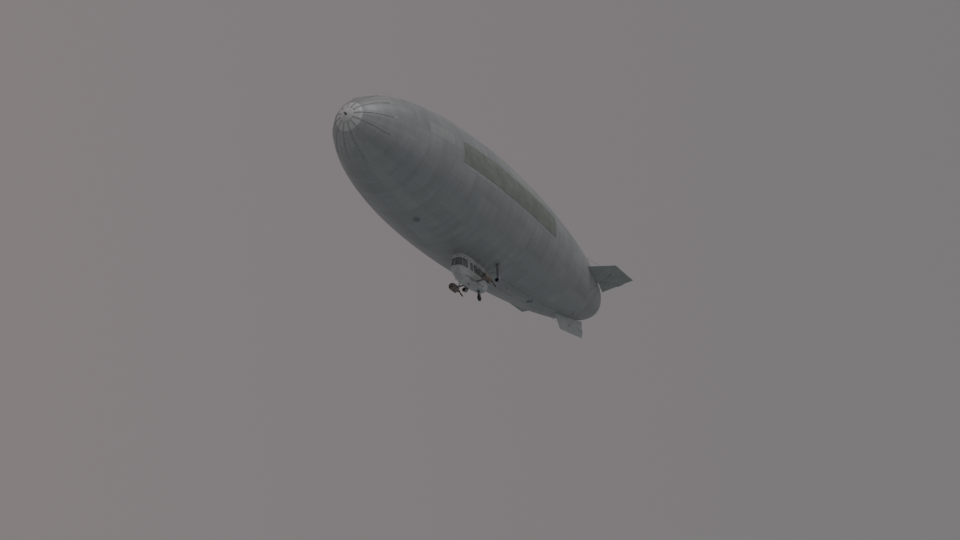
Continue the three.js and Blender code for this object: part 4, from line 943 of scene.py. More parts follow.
def makeStays():
    for place in finPlaces:
        inner = radiusAt(stay["footX"])
        radius = inner + (tipAt(place, stay["footX"]) - inner) * stay["share"]
        fittings, patches = [], []
        for node in ("a", "b"):
            dressNode(f"fin_stay_{place['name']}_{node}", steelWire, bevel=0, smooth=60)
        for turn in (1, -1):
            foot = Vector((stay["footX"], radius, turn * (finHalf(radius) + 0.0123)))
            plate = block("plate", (-0.045, -0.03, -0.0035), (0.045, 0.03, 0.0035), 0.003)
            plate.location = Vector((stay["footX"], radius, turn * (finHalf(radius) + 0.004)))
            fittings.append(plate)
            for x in stay["lands"]:
                land = onHull(x, turn * place["spread"], -0.018)
                line = foot - land
                fittings.append(turnbuckleAt("turnbuckle", land + line.normalized() * 0.2, line))
                patches.append(patchOn("patch", x, turn * place["spread"], stay["patch"]))
        finishOnFin(place, "turnbuckles_" + place["name"], fittings, steelWire)
        finishOnFin(place, "stay_patches_" + place["name"], patches, tapeCloth, smooth=60)


makeStays()
print("stays made")

# Air valves on the belly
valve = {"places": {"fore": 7.0, "aft": -6.2}, "bolts": 16}


def makeValve(name, x):
    node = f"air_valve_{name}"
    z = -radiusAt(x)
    rim = [
        (0.03, 0.0), (0.03, 0.2), (0.0, 0.211), (-0.012, 0.207), (-0.034, 0.193), (-0.038, 0.188),
        (-0.036, 0.16),
    ]
    bowl = [
        (-0.02, 0.14), (-0.02, 0.122), (-0.034, 0.119), (-0.056, 0.11), (-0.062, 0.1), (-0.058, 0.03),
        (-0.062, 0.0),
    ]
    disc = lathe("disc", [(z + height, radius) for height, radius in rim + bowl], (x, 0, 0), "Z", 48)
    bolt = lathe(
        "bolt", [(z - 0.034, 0.006), (z - 0.041, 0.006), (z - 0.043, 0.0)], (x + 0.175, 0, 0), "Z", 6
    )
    spinCopies(bolt, valve["bolts"], (x, 0, z), "Z")
    arms = [block("arm", (x - 0.19, -0.008, z - 0.07), (x + 0.19, 0.008, z - 0.062), 0.002)]
    arms.append(block("arm", (x - 0.008, -0.19, z - 0.07), (x + 0.008, 0.19, z - 0.062), 0.002))
    feet = block("foot", (x + 0.165, -0.01, z - 0.07), (x + 0.19, 0.01, z - 0.03), 0.003)
    spinCopies(feet, 4, (x, 0, z), "Z")
    standIn(node, "_turned", [disc, bolt, *arms, feet], scoopMetal)
    finishPiece(patchOn(node + "_patch", x, -90, 0.36, 32), tapeCloth, smooth=60)


for name, x in valve["places"].items():
    makeValve(name, x)
print("valves made")

# Car
car = {
    "levels": (  # height, foremost x, rearmost x and half width
        (-3.4, 2.74, -0.15, 0.392),
        (-3.7, 2.86, -0.25, 0.42),
        (-4.06, 2.99, -0.34, 0.438),
        (-4.42, 3.1, -0.365, 0.44),
        (-4.7, 2.98, -0.29, 0.408),
        (-4.85, 2.72, -0.11, 0.33),
        (-4.9, 2.5, 0.06, 0.25),
    ),
    "middleX": 1.4,
    "sides": 32,
    "fullness": 3.2,
    "windowLow": -4.33,
    "windowHigh": -3.83,
    "corner": 0.045,
    "mullion": 0.046,
    "noseGlassX": 2.26,
    "noseFanX": 2.3,
    "noseMullions": (-38, 0, 38),
    "tailGlassX": 0.09,
    "tailFanX": 0.1,
    "tailMullions": (150, 210),
    "sideWindows": ((1.58, 1.16), (1.1, 0.68), (0.62, 0.22)),
    "starboardFront": (2.12, 1.66),
    "doorWindow": (1.995, 1.725),
    "beltZ": -4.5,
    "roofZ": -3.7,
}
doorway = {"foreX": 2.04, "aftX": 1.68, "low": -4.7, "high": -3.78, "corner": 0.06}


def carRing(z, out=0.0):  # the car's outline at that height, as its solids have it
    levels = car["levels"]
    upper = max((k for k in range(len(levels) - 1) if levels[k][0] >= z), default=0)
    share = (z - levels[upper][0]) / (levels[upper + 1][0] - levels[upper][0])
    front, rear, half = [a + (b - a) * share for a, b in zip(levels[upper][1:], levels[upper + 1][1:])]
    points = []
    for k in range(car["sides"]):
        cosine, sine = math.cos(2 * math.pi * k / car["sides"]), math.sin(2 * math.pi * k / car["sides"])
        reach = front - car["middleX"] if cosine > 0 else car["middleX"] - rear
        bluntness = 2 / car["fullness"]
        x = car["middleX"] + math.copysign((reach + out) * abs(cosine) ** bluntness, cosine)
        points.append(Vector((x, math.copysign((half + out) * abs(sine) ** bluntness, sine), z)))
    return points


def skinAt(z, fromX, turn, proud=0.0, aside=0.0):  # where a level ray from inside the car leaves its skin
    way = Vector((math.cos(math.radians(turn)), math.sin(math.radians(turn)), 0))
    start = Vector((fromX, 0, z)) + Vector((-way.y, way.x, 0)) * aside
    ring = carRing(z)
    for here, there in zip(ring, ring[1:] + ring[:1]):
        edge = there - here
        spread = way.x * edge.y - way.y * edge.x
        if abs(spread) < 1e-9:
            continue
        gap = here - start
        reach = (gap.x * edge.y - gap.y * edge.x) / spread
        share = (gap.x * way.y - gap.y * way.x) / spread
        if reach > 0 and -1e-6 <= share <= 1 + 1e-6:
            outward = Vector((edge.y, -edge.x, 0)).normalized()
            return start + way * reach + outward * proud
    raise ValueError(f"no skin at z {z} from x {fromX} towards {turn}")


def roundedWindow(foreX, aftX, low, high, corner, turn, proud):  # a closed path on the car's flank
    path = []
    for cornerX, cornerZ, start in (
        (foreX - corner, high - corner, 0),
        (aftX + corner, high - corner, 90),
        (aftX + corner, low + corner, 180),
        (foreX - corner, low + corner, 270),
    ):
        for step in range(5):
            angle = math.radians(start + 22.5 * step)
            x, z = cornerX + corner * math.cos(angle), cornerZ + corner * math.sin(angle)
            path.append(skinAt(z, x, turn, proud))
    return path


def bandPane(fanX, first, last, steps=6):  # a closed path round one pane of the glazed nose or tail
    rays = [(fanX if first[0] is None else first[0], first[1], first[2])]
    for k in range(1, steps):
        rays.append((fanX, first[1] + (last[1] - first[1]) * k / steps, 0))
    rays.append((fanX if last[0] is None else last[0], last[1], last[2]))
    upper = [skinAt(car["windowHigh"], x, turn, 0.002, aside) for x, turn, aside in rays]
    lower = [skinAt(car["windowLow"], x, turn, 0.002, aside) for x, turn, aside in rays]
    return upper + lower[::-1]


def makeCarShell():
    for node in (
        "car_pan", "car_roof", "car_nose", "car_tail", "car_side_port", "car_side_starboard", "car_door"
    ):
        dressNode(node, carPaint, bevel=0.003, smooth=35)
    for node in ("windscreen", "tail_window", "side_windows_port", "side_windows_starboard", "door_window"):
        dressNode(node, acrylic, bevel=0, smooth=35)
    dressNode("car_floor", matting, bevel=0.002, smooth=35)


def makeWindowSeals():
    seals = []
    low, high, corner = car["windowLow"], car["windowHigh"], car["corner"]
    for turn in (90, -90):
        places = car["sideWindows"] + ((car["starboardFront"],) if turn < 0 else ())
        for foreX, aftX in places:
            path = roundedWindow(foreX, aftX, low, high, corner, turn, 0.001)
            seals.append(tube("seal", path, 0.008, 8, True))
    half = car["mullion"] / 2
    for glassX, fanX, mullions, edges in (
        (car["noseGlassX"], car["noseFanX"], car["noseMullions"], (-90, 90)),
        (car["tailGlassX"], car["tailFanX"], car["tailMullions"], (90, 270)),
    ):
        stops = [(glassX, edges[0], 0)] + [(None, turn, 0) for turn in mullions] + [(glassX, edges[1], 0)]
        for first, last in zip(stops, stops[1:]):
            start = first if first[0] is not None else (None, first[1], half)
            end = last if last[0] is not None else (None, last[1], -half)
            seals.append(tube("seal", bandPane(fanX, start, end), 0.008, 8, True))
    finishPiece(joined("window_seals", seals), sealRubber, smooth=60)
    foreX, aftX = car["doorWindow"]
    path = roundedWindow(foreX, aftX, low, high, corner, 90, 0.001)
    finishPiece(tube("door_window_seal", path, 0.008, 8, True), sealRubber, "door", smooth=60)


makeCarShell()
makeWindowSeals()
print("car made")

# Engines, their nacelles, propellers and exhausts
power = {"x": 1.25, "y": 1.075, "z": -4.745, "shaftHole": 0.026}
nacelle = {
    "outside": (  # x and radius, from the tail to the intake
        (0.83, 0.066),
        (0.88, 0.105),
        (0.96, 0.15),
        (1.06, 0.188),
        (1.19, 0.211),
        (1.33, 0.215),
        (1.48, 0.209),
        (1.58, 0.186),
        (1.62, 0.158),
    ),
    "wall": 0.012,
    "cavityX": 0.9,
    "bands": (1.0, 1.47),
    "fasteners": 12,
    "louvres": 5,
}
baffle = {"x": 1.44, "radii": (0.064, 0.09, 0.155, 0.199), "openTo": 0.05, "thick": 0.003}


def smoothProfile(points, steps=4):  # a curve through the points, with that many steps between two
    fine = []
    for k in range(len(points) - 1):
        before, here = points[max(k - 1, 0)], points[k]
        there, after = points[k + 1], points[min(k + 2, len(points) - 1)]
        for step in range(steps):
            t, point = step / steps, []
            for a, b, c, d in zip(before, here, there, after):
                squared, cubed = 2 * a - 5 * b + 4 * c - d, 3 * b - a - 3 * c + d
                point.append(0.5 * (2 * b + (c - a) * t + squared * t * t + cubed * t**3))
            fine.append(tuple(point))
    return fine + [points[-1]]


def makeNacelle(name, sign):
    centre = Vector((0, sign * power["y"], power["z"]))
    skin = smoothProfile(nacelle["outside"])
    wall = nacelle["wall"]
    inside = [
        (x - (0.004 if k else 0), radius - wall)
        for k, (x, radius) in enumerate(skin[::-1])
        if x > nacelle["cavityX"]
    ]
    lip = [(1.626, 0.154), (1.624, 0.148)]
    tail = [(nacelle["cavityX"], power["shaftHole"]), (nacelle["outside"][0][0], power["shaftHole"])]
    shell = lathe("shell", tail[1:] + skin + lip + inside + tail, centre, "X", 48)
    bands = []
    for x in nacelle["bands"]:
        radius = max(r for place, r in skin if abs(place - x) < 0.03)
        ring = [
            (x - 0.016, radius - 0.006), (x - 0.014, radius + 0.003), (x + 0.014, radius + 0.003),
            (x + 0.016, radius - 0.006),
        ]
        bands.append(lathe("band", ring, centre, "X", 48))
        stud = lathe(
            "stud", [(radius + 0.002, 0.006), (radius + 0.007, 0.005), (radius + 0.008, 0.0)],
            centre + Vector((x, 0, 0)), "Z", 8,
        )
        bands.append(spinCopies(stud, nacelle["fasteners"], centre, "X"))
    for k in range(nacelle["louvres"]):
        slat = block("louvre", (-0.016, -0.05, -0.006), (0.016, 0.05, 0.006), 0.003)
        slat.rotation_euler.y = math.radians(-12)
        slat.location = centre + Vector((1.16 + 0.045 * k, 0, 0.2095 + 0.0012 * k))
        bands.append(slat)
    standIn(f"nacelle_{name}", "_spun", [shell, *bands], nacellePaint)

    # The sheet in front of the engine that turns the cooling air over its cylinders
    rings = [(baffle["x"], radius) for radius in baffle["radii"]]
    sheet = lathe(f"intake_baffle_{name}", rings, centre, "X", 48, shut=False)

    def overCylinders(face):
        place = face.center - centre
        inner, outer = baffle["radii"][1:3]
        return abs(place.z) < baffle["openTo"] and inner < math.hypot(place.y, place.z) < outer

    selectWhere(sheet, "FACE", overCylinders)
    bpy.ops.mesh.delete(type="FACE")
    bpy.ops.object.mode_set(mode="OBJECT")
    applyModifier(sheet, "SOLIDIFY", thickness=baffle["thick"], offset=0)
    finishPiece(sheet, carPaint, smooth=40)


engine = {
    "boxes": {  # lowest and highest corner from the engine's middle, the bevel and its segments
        "crankcase": ((-0.19, -0.055, -0.06), (0.15, 0.055, 0.06), 0.014, 3),
        "sump": ((-0.12, -0.04, -0.1), (0.1, 0.04, -0.05), 0.012, 3),
        "carburettor": ((-0.03, -0.03, 0.055), (0.03, 0.03, 0.102), 0.008, 2),
    },
    "cylinderX": (-0.1, 0.06),
    "fins": 6,
    "finEvery": 0.012,
}


def makeFlatFour(name, sign):  # two finned cylinders on each side of a crankcase
    centre = Vector((power["x"], sign * power["y"], power["z"]))
    parts = []
    for box, (low, high, bevel, segments) in engine["boxes"].items():
        parts.append(block(box, centre + Vector(low), centre + Vector(high), bevel, segments))
    parts.append(
        lathe("nose_case", [(0.1, 0.055), (0.16, 0.05), (0.19, 0.036), (0.198, 0.0)], centre, "X", 20)
    )
    for offset in engine["cylinderX"]:
        for side in (-1, 1):
            barrel = [(0.05, 0.028)]
            for k in range(engine["fins"]):
                out = 0.058 + engine["finEvery"] * k
                barrel += [(out, 0.03), (out, 0.05), (out + 0.004, 0.05), (out + 0.004, 0.03)]
            head = [(0.13, 0.044), (0.136, 0.052), (0.154, 0.05), (0.162, 0.036), (0.163, 0.0)]
            profile = [(place * side, radius) for place, radius in barrel + head]
            parts.append(lathe("cylinder", profile, centre + Vector((offset, 0, 0)), "Y", 20))
            run = [
                (offset, 0.1 * side, 0.045), (offset + 0.02, 0.08 * side, 0.075), (0.0, 0.03 * side, 0.078)
            ]
            parts.append(tube("intake", [centre + Vector(point) for point in run], 0.011, 8))
    for side in (-1, 1):
        parts.append(
            lathe(
                "magneto", [(-0.198, 0), (-0.196, 0.022), (-0.18, 0.024)],
                centre + Vector((0, 0.03 * side, 0.02)), "X", 16,
            )
        )
    standIn(f"engine_{name}", "_flat_four", parts, castMetal)


def makeExhaust(name, sign):
    centre = Vector((power["x"], sign * power["y"], power["z"] - 0.215))
    route = smoothProfile(
        [(0.15, 0, 0.04), (0.125, 0, 0.0), (0.09, 0, -0.03), (0.02, 0, -0.045), (-0.06, 0, -0.05)], 3
    )
    pipe = tube("pipe", [centre + Vector(point) for point in route], 0.023, 16)
    collar = lathe(
        "collar", [(-0.006, 0.024), (-0.006, 0.03), (0.01, 0.03), (0.01, 0.024)],
        centre + Vector((-0.05, 0, -0.05)), "X", 16,
    )
    dark = lathe(
        "bore", [(-0.0615, 0.0), (-0.0615, 0.018), (-0.058, 0.02)], centre + Vector((0, 0, -0.05)), "X", 16
    )
    standIn(f"exhaust_{name}", "_pipe", [pipe, collar, dark], hotSteel, smooth=50)


blade = {
    "sections": (  # radius, chord, thickness and pitch in degrees
        (0.03, 0.044, 0.04, 50),
        (0.07, 0.052, 0.03, 46),
        (0.11, 0.062, 0.024, 42),
        (0.175, 0.075, 0.0185, 35.5),
        (0.24, 0.084, 0.015, 30),
        (0.305, 0.083, 0.0122, 25.5),
        (0.37, 0.076, 0.01, 22),
        (0.42, 0.064, 0.008, 19.5),
        (0.45, 0.053, 0.007, 18),
        (0.472, 0.036, 0.0055, 17),
        (0.48, 0.02, 0.004, 17),
    ),
    "rest": 30,
    "x": 0.745,
}


def makePropeller(name, sign):
    centre = Vector((blade["x"], sign * power["y"], power["z"]))
    sections = blade["sections"]
    deselectAll()
    bpy.ops.mesh.primitive_circle_add(
        vertices=16, radius=0.5, fill_type="NGON", location=(0, 0, sections[0][0])
    )
    piece = bpy.context.object
    bpy.ops.object.transform_apply(location=True, rotation=True, scale=True)
    editAll(piece)
    bpy.ops.transform.resize(value=(sections[0][2], sections[0][1], 1), center_override=(0, 0, 0))
    for before, here in zip(sections, sections[1:]):
        bpy.ops.mesh.extrude_region_move(TRANSFORM_OT_translate={"value": (0, 0, here[0] - before[0])})
        bpy.ops.transform.resize(
            value=(here[2] / before[2], here[1] / before[1], 1), center_override=(0, 0, 0)
        )
    for radius, chord, thick, pitch in sections:
        selectWhere(piece, "VERT", lambda vertex: abs(vertex.co.z - radius) < 1e-4)
        bpy.ops.transform.rotate(value=math.radians(pitch), orient_axis="Z", center_override=(0, 0, 0))
        bpy.ops.object.mode_set(mode="OBJECT")
    cleanUp(piece)
    spinCopies(piece, 2)
    piece.rotation_euler.x = math.radians(blade["rest"])
    piece.location = centre
    hub = [
        (-0.12, 0), (-0.118, 0.012), (-0.112, 0.022), (-0.098, 0.034), (-0.08, 0.044), (-0.055, 0.0515),
        (-0.03, 0.056),
    ]
    hub += [
        (0.0, 0.0585), (0.04, 0.06), (0.047, 0.058), (0.048, 0.05), (0.048, 0.025), (0.15, 0.025), (0.15, 0)
    ]
    boss = lathe("boss", hub, centre, "X", 32)
    standIn(f"propeller_{name}", "_carved", [piece, boss], propellerPaint)


for name, sign in flanks.items():
    makeNacelle(name, sign)
    makeFlatFour(name, sign)
    makeExhaust(name, sign)
    makePropeller(name, sign)
print("engines made")

# Air scoops, from the mouth round the bend and up into the hull
scoop = {
    "plateTurn": 30, "y": 1.075, "radius": 0.125, "wall": 0.012, "mouth": (0.13, -4.4), "bendX": 0.02,
    "bend": 0.19, "top": -3.3,
}


def makeScoop(name, sign):
    y, bendX = sign * scoop["y"], scoop["bendX"]
    mouthX, mouthZ = scoop["mouth"]
    deselectAll()
    bpy.ops.mesh.primitive_circle_add(
        vertices=32, radius=scoop["radius"], location=(mouthX, y, mouthZ), rotation=(0, math.pi / 2, 0)
    )
    duct = bpy.context.object
    bpy.ops.object.transform_apply(location=True, rotation=True, scale=True)
    editAll(duct)
    bpy.ops.mesh.extrude_region_move(TRANSFORM_OT_translate={"value": (bendX - mouthX, 0, 0)})
    bpy.ops.mesh.spin(steps=12, angle=math.pi / 2, center=(bendX, y, mouthZ + scoop["bend"]), axis=(0, -1, 0))
    rise = scoop["top"] - mouthZ - scoop["bend"]
    bpy.ops.mesh.extrude_region_move(TRANSFORM_OT_translate={"value": (0, 0, rise)})
    cleanUp(duct)
    applyModifier(duct, "SOLIDIFY", thickness=scoop["wall"], offset=-1)
    riserX = bendX - scoop["bend"]
    parts = [duct]
    out = scoop["radius"]
    ring = [(-0.012, out - 0.002), (-0.01, out + 0.004), (0.01, out + 0.004), (0.012, out - 0.002)]
    for z in (-4.2, -3.72):
        parts.append(lathe("clamp", ring, (riserX, y, z), "Z", 32))
        parts.append(
            block(
                "clip", (riserX - 0.145, y - 0.012, z - 0.008), (riserX - 0.122, y + 0.012, z + 0.008),
                0.003,
            )
        )
    parts.append(
        lathe(
            "lip", [(-0.008, out), (-0.004, out + 0.005), (0.0, out + 0.005), (0.0, out - 0.014)],
            (0.129, y, mouthZ), "X", 32,
        )
    )
    start = Vector((riserX, y - sign * (out - 0.006), -3.735))
    end = Vector((riserX + 0.06, 0, -3.795))
    landing = skinAt(-3.77, riserX + 0.036, 90 * sign, 0.001)
    share = (abs(start.y) - abs(landing.y)) / abs(start.y)
    brace = [start, start.lerp(end, share)]
    parts.append(tube("brace", brace, 0.0138, 12))
    plate = block("plate", (-0.03, -0.003, -0.022), (0.03, 0.003, 0.022), 0.0025)
    plate.rotation_euler.z = sign * math.radians(scoop["plateTurn"])
    plate.location = brace[1] + Vector((0, sign * 0.002, 0))
    parts.append(plate)
    standIn(f"air_scoop_{name}", "_duct", parts, scoopMetal)


for name, sign in flanks.items():
    makeScoop(name, sign)
print("scoops made")

# Landing gear
gear = {
    "x": 0.4,
    "foot": -5.092,
    "braceReach": 0.26,
    "crown": (-5.125, -5.1),
    "wheelX": 0.35,
    "wheelZ": -5.3265,
    "lugs": 44,
    "lugRadii": (0.165, 0.1728),
    "wheelBolts": 8,
}


def makeLeg():
    x, foot = gear["x"], gear["foot"]
    shape = [(foot, 0.025), (foot, 0.044), (foot + 0.004, 0.046), (foot + 0.03, 0.046), (foot + 0.034, 0.041)]
    shape += [(foot + 0.1, 0.041), (foot + 0.104, 0.046), (-4.902, 0.046), (-4.902, 0.025)]
    parts = [lathe("leg", shape, (x, 0, 0), "Z", 32)]
    for side in (-1, 1):
        low = Vector((x, 0, foot + 0.07))
        high = Vector((x + side * gear["braceReach"], 0, -4.86))
        top = low.lerp(high, (-4.902 - low.z) / (high.z - low.z))
        parts.append(tube("brace", [low, top], 0.0178, 16))
        fork = low.lerp(high, 0.3)
        parts.append(
            block(
                "fork_end", fork - Vector((0.022, 0.024, 0.016)), fork + Vector((0.022, 0.024, 0.016)),
                0.004,
            )
        )
    flange = [(-4.9035, 0.05), (-4.9035, 0.085), (-4.909, 0.085), (-4.912, 0.082), (-4.912, 0.046)]
    parts.append(lathe("flange", flange, (x, 0, 0), "Z", 32))
    bolt = lathe("bolt", [(-4.911, 0.006), (-4.918, 0.006), (-4.919, 0.0)], (x + 0.068, 0, 0), "Z", 6)
    parts.append(spinCopies(bolt, 6, (x, 0, 0), "Z"))
    standIn("gear_leg", "_turned", parts, strutPaint)


def makeFork():
    x, wheelX, wheelZ = gear["x"], gear["wheelX"], gear["wheelZ"]
    low, high = gear["crown"]
    parts = [block("crown", (wheelX - 0.035, -0.084, low), (x + 0.04, 0.084, high), 0.006, 3)]
    parts.append(
        lathe(
            "stem", [(low, 0), (low, 0.024), (-5.0, 0.024), (-4.995, 0.02), (-4.995, 0)], (x, 0, 0), "Z", 24
        )
    )
    for side in (-1, 1):
        inner, outer = 0.066 * side, 0.084 * side
        arm = block("arm", (wheelX - 0.03, inner, wheelZ - 0.004), (wheelX + 0.03, outer, low + 0.006), 0.005)
        boss = lathe(
            "boss", [(inner, 0.0138), (inner, 0.032), (outer, 0.032), (outer, 0.0138)], (wheelX, 0, wheelZ),
            "Y", 24,
        )
        gusset = block(
            "gusset", (wheelX - 0.012, outer, low - 0.05),
            (wheelX + 0.012, outer + 0.005 * side, low + 0.02), 0.0015,
        )
        parts += [arm, boss, gusset]
    eye = [(x + 0.032, 0, low - 0.002), (x + 0.075, 0, low + 0.02), (x + 0.06, 0, low + 0.025)]
    parts.append(tube("tow_eye", eye, 0.006, 10))
    standIn("caster_fork", "_welded", parts, strutPaint)


def makeWheel():
    centre = (gear["wheelX"], 0, gear["wheelZ"])
    rim = [
        (-0.046, 0.0), (-0.046, 0.02), (-0.04, 0.024), (-0.026, 0.03), (-0.022, 0.05), (-0.026, 0.072),
        (-0.04, 0.084),
    ]
    rim += [(-0.046, 0.092), (-0.045, 0.0965), (-0.038, 0.0965), (-0.031, 0.088), (-0.01, 0.086)]
    hub = lathe("rim", rim + [(-y, radius) for y, radius in reversed(rim)], centre, "Y", 48)
    bolt = lathe(
        "bolt", [(0.024, 0.006), (0.033, 0.006), (0.034, 0.0)], Vector(centre) + Vector((0.06, 0, 0)), "Y",
        6,
    )
    spinCopies(bolt, gear["wheelBolts"], centre, "Y")
    far = copyOf(bolt, "bolt_far")
    far.location.y = 0
    activate(far)
    bpy.ops.transform.mirror(
        orient_type="GLOBAL", constraint_axis=(False, True, False), center_override=(0, 0, 0)
    )
    axle = [(-0.09, 0), (-0.09, 0.011), (-0.088, 0.013), (0.088, 0.013), (0.09, 0.011), (0.09, 0)]
    parts = [hub, bolt, far, lathe("axle", axle, centre, "Y", 24)]
    cleanUp(standIn("wheel_hub", "_turned", parts, strutPaint), 1e-6)

    side = [(0.029, 0.0885), (0.036, 0.0976), (0.047, 0.103), (0.0535, 0.115), (0.055, 0.13), (0.0535, 0.146)]
    side += [(0.047, 0.156), (0.04, 0.1635), (0.03, 0.1675), (0.015, 0.1698), (0.0, 0.1705)]
    profile = side + [(-y, radius) for y, radius in reversed(side[:-1])]
    tyre = lathe("carcass", profile + [profile[0]], centre, "Y", 64)
    x, z = gear["wheelX"], gear["wheelZ"]
    low, high = z + gear["lugRadii"][0], z + gear["lugRadii"][1]
    blocks = [
        block("lug", (x - 0.008, y, low), (x + 0.008, y + 0.02, high), 0.0015, 1) for y in (-0.032, 0.012)
    ]
    blocks.append(block("lug", (x - 0.004, -0.009, low), (x + 0.012, 0.009, high), 0.0015, 1))
    lugs = spinCopies(joined("lugs", blocks), gear["lugs"], centre, "Y")
    standIn("tyre", "_moulded", [tyre, lugs], tyreRubber)


makeLeg()
makeFork()
makeWheel()
print("landing gear made")

# Cabin
floorTop = -4.76 + 0.0003  # what stands on the boards is just clear of them
seat = {"depth": 0.24, "cushion": 0.06, "height": 0.21, "back": 0.33, "backDepth": 0.045, "channels": 4}
seatRows = {
    "pilot_seats": (2.28, 0.2, 0.2), "middle_seats": (1.25, 0.245, 0.22), "aft_seats": (0.65, 0.245, 0.22)
}
bench = (0.18, 0.0, 0.46)


def swell(pad, cap):  # the filling blows the cover out, and no point moves further than the cap
    still = [vertex.co.copy() for vertex in pad.data.vertices]
    activate(pad)
    cloth = pad.modifiers.new("cloth", "CLOTH")
    cloth.settings.use_pressure = True
    cloth.settings.uniform_pressure_force = 4
    cloth.settings.effector_weights.gravity = 0
    for step in range(1, 21):
        bpy.context.scene.frame_set(step)
    bpy.ops.object.modifier_apply(modifier=cloth.name)
    bpy.context.scene.frame_set(1)
    for vertex, before in zip(pad.data.vertices, still):
        shift = vertex.co - before
        if shift.length > cap:
            vertex.co = before + shift.normalized() * cap


def softPad(name, low, high, channels):
    # a crowned pad between two corners, sewn in channels across its width
    inset = Vector((0.007, 0.007, 0.007))
    low, high = Vector(low) + inset, Vector(high) - inset
    pad = block(name, low, high, 0.012, 3)
    applyModifier(pad, "REMESH", mode="VOXEL", voxel_size=0.006)
    swell(pad, 0.008)
    half = 0.003
    seams = [low.y + (high.y - low.y) * (k + 1) / channels for k in range(channels - 1)]
    selectWhere(pad, "VERT", lambda vertex: any(abs(vertex.co.y - seam) < half for seam in seams))
    bpy.ops.transform.shrink_fatten(value=-0.004)
    bpy.ops.object.mode_set(mode="OBJECT")
    applyModifier(pad, "SMOOTH", factor=0.4, iterations=1)
    return pad


def piping(name, low, high, thin, at):  # the corded seam round a pad's edge
    low, high = Vector(low), Vector(high)
    flat = [axis for axis in range(3) if axis != thin]
    points = []
    for a, b in ((0, 0), (1, 0), (1, 1), (0, 1)):
        corner = Vector(low)
        corner[flat[0]] = (low, high)[a][flat[0]] + (0.01, -0.01)[a]
        corner[flat[1]] = (low, high)[b][flat[1]] + (0.01, -0.01)[b]
        corner[thin] = at
        points.append(corner)
    loop = []
    for k, corner in enumerate(points):
        before, after = points[k - 1], points[(k + 1) % 4]
        loop += [
            corner.lerp(before, 0.06), corner.lerp(before.lerp(after, 0.5), 0.02), corner.lerp(after, 0.06)
        ]
    return tube(name, loop, 0.0035, 6, True)


def makeSeat(name, width):  # one seat facing +X, on the floor with x and y 0 under its middle
    foot, top = floorTop, floorTop + seat["height"]
    rearX, half = -seat["depth"] / 2, width / 2
    low, high = (rearX, -half, top - seat["cushion"]), (seat["depth"] / 2, half, top)
    backLow = (rearX - seat["backDepth"], -half, top + 0.004)
    backHigh = (rearX + 0.005, half, top + seat["back"])
    cushion = softPad(name + "_cushion", low, high, seat["channels"])
    back = softPad(name + "_back", backLow, backHigh, seat["channels"])
    cords = [piping("cord", low, high, 2, top - seat["cushion"] / 2)]
    cords.append(piping("cord", backLow, backHigh, 0, rearX - seat["backDepth"] / 2 + 0.0025))
    trim = joined(name + "_piping", cords)
    shellLow = (rearX - seat["backDepth"] + 0.002, -half + 0.02, top - 0.06)
    parts = [block("shell", shellLow, (rearX - 0.002, half - 0.02, top), 0.004)]
    parts.append(
        block("pan", (rearX + 0.01, -half + 0.01, top - 0.064), (0.11, half - 0.01, top - 0.058), 0.002)
    )
    for y in (-0.06, 0.06):
        parts.append(tube("leg", [(-0.06, y, foot), (-0.05, y, top - 0.06)], 0.008, 10))
        parts.append(tube("leg", [(0.07, y, foot), (0.06, y, top - 0.06)], 0.008, 10))
        parts.append(tube("runner", [(-0.07, y, foot + 0.008), (0.074, y, foot + 0.008)], 0.008, 10))
    return {"frame": joined(name + "_frame", parts), "cushion": cushion, "back": back, "piping": trim}


def placeSeat(seatParts, node, side, x, y):  # copies of the seat's pieces, moved to their place
    for key, piece in seatParts.items():
        made = copyOf(piece, f"{node}_{side}_{key}", (x, y, 0))
        material = {"frame": strutPaint, "piping": sealRubber}.get(key, seatWool)
        finishPiece(made, material, smooth=50)
        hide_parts(node)


def makeSeats():
    widths = sorted({width for x, y, width in [*seatRows.values(), bench]})
    models = {width: makeSeat(f"seat_{k}", width) for k, width in enumerate(widths)}
    for node, (x, y, width) in seatRows.items():
        placeSeat(models[width], node, "port", x, y)
        placeSeat(models[width], node, "starboard", x, -y)
        track = block("track", (x - 0.03, -y, floorTop), (x + 0.03, y, floorTop + 0.0117), 0.002)
        standIn(node, "_track", [track], strutPaint)
    placeSeat(models[bench[2]], "rear_bench", "middle", *bench[:2])
    for model in models.values():
        for piece in model.values():
            bpy.data.objects.remove(piece)


dash = {
    "faceX": 2.7, "low": -4.44, "high": -4.29,
    "dials": ((-0.15, 0.028), (-0.075, 0.028), (0.0, 0.034), (0.075, 0.028), (0.15, 0.028)),
}


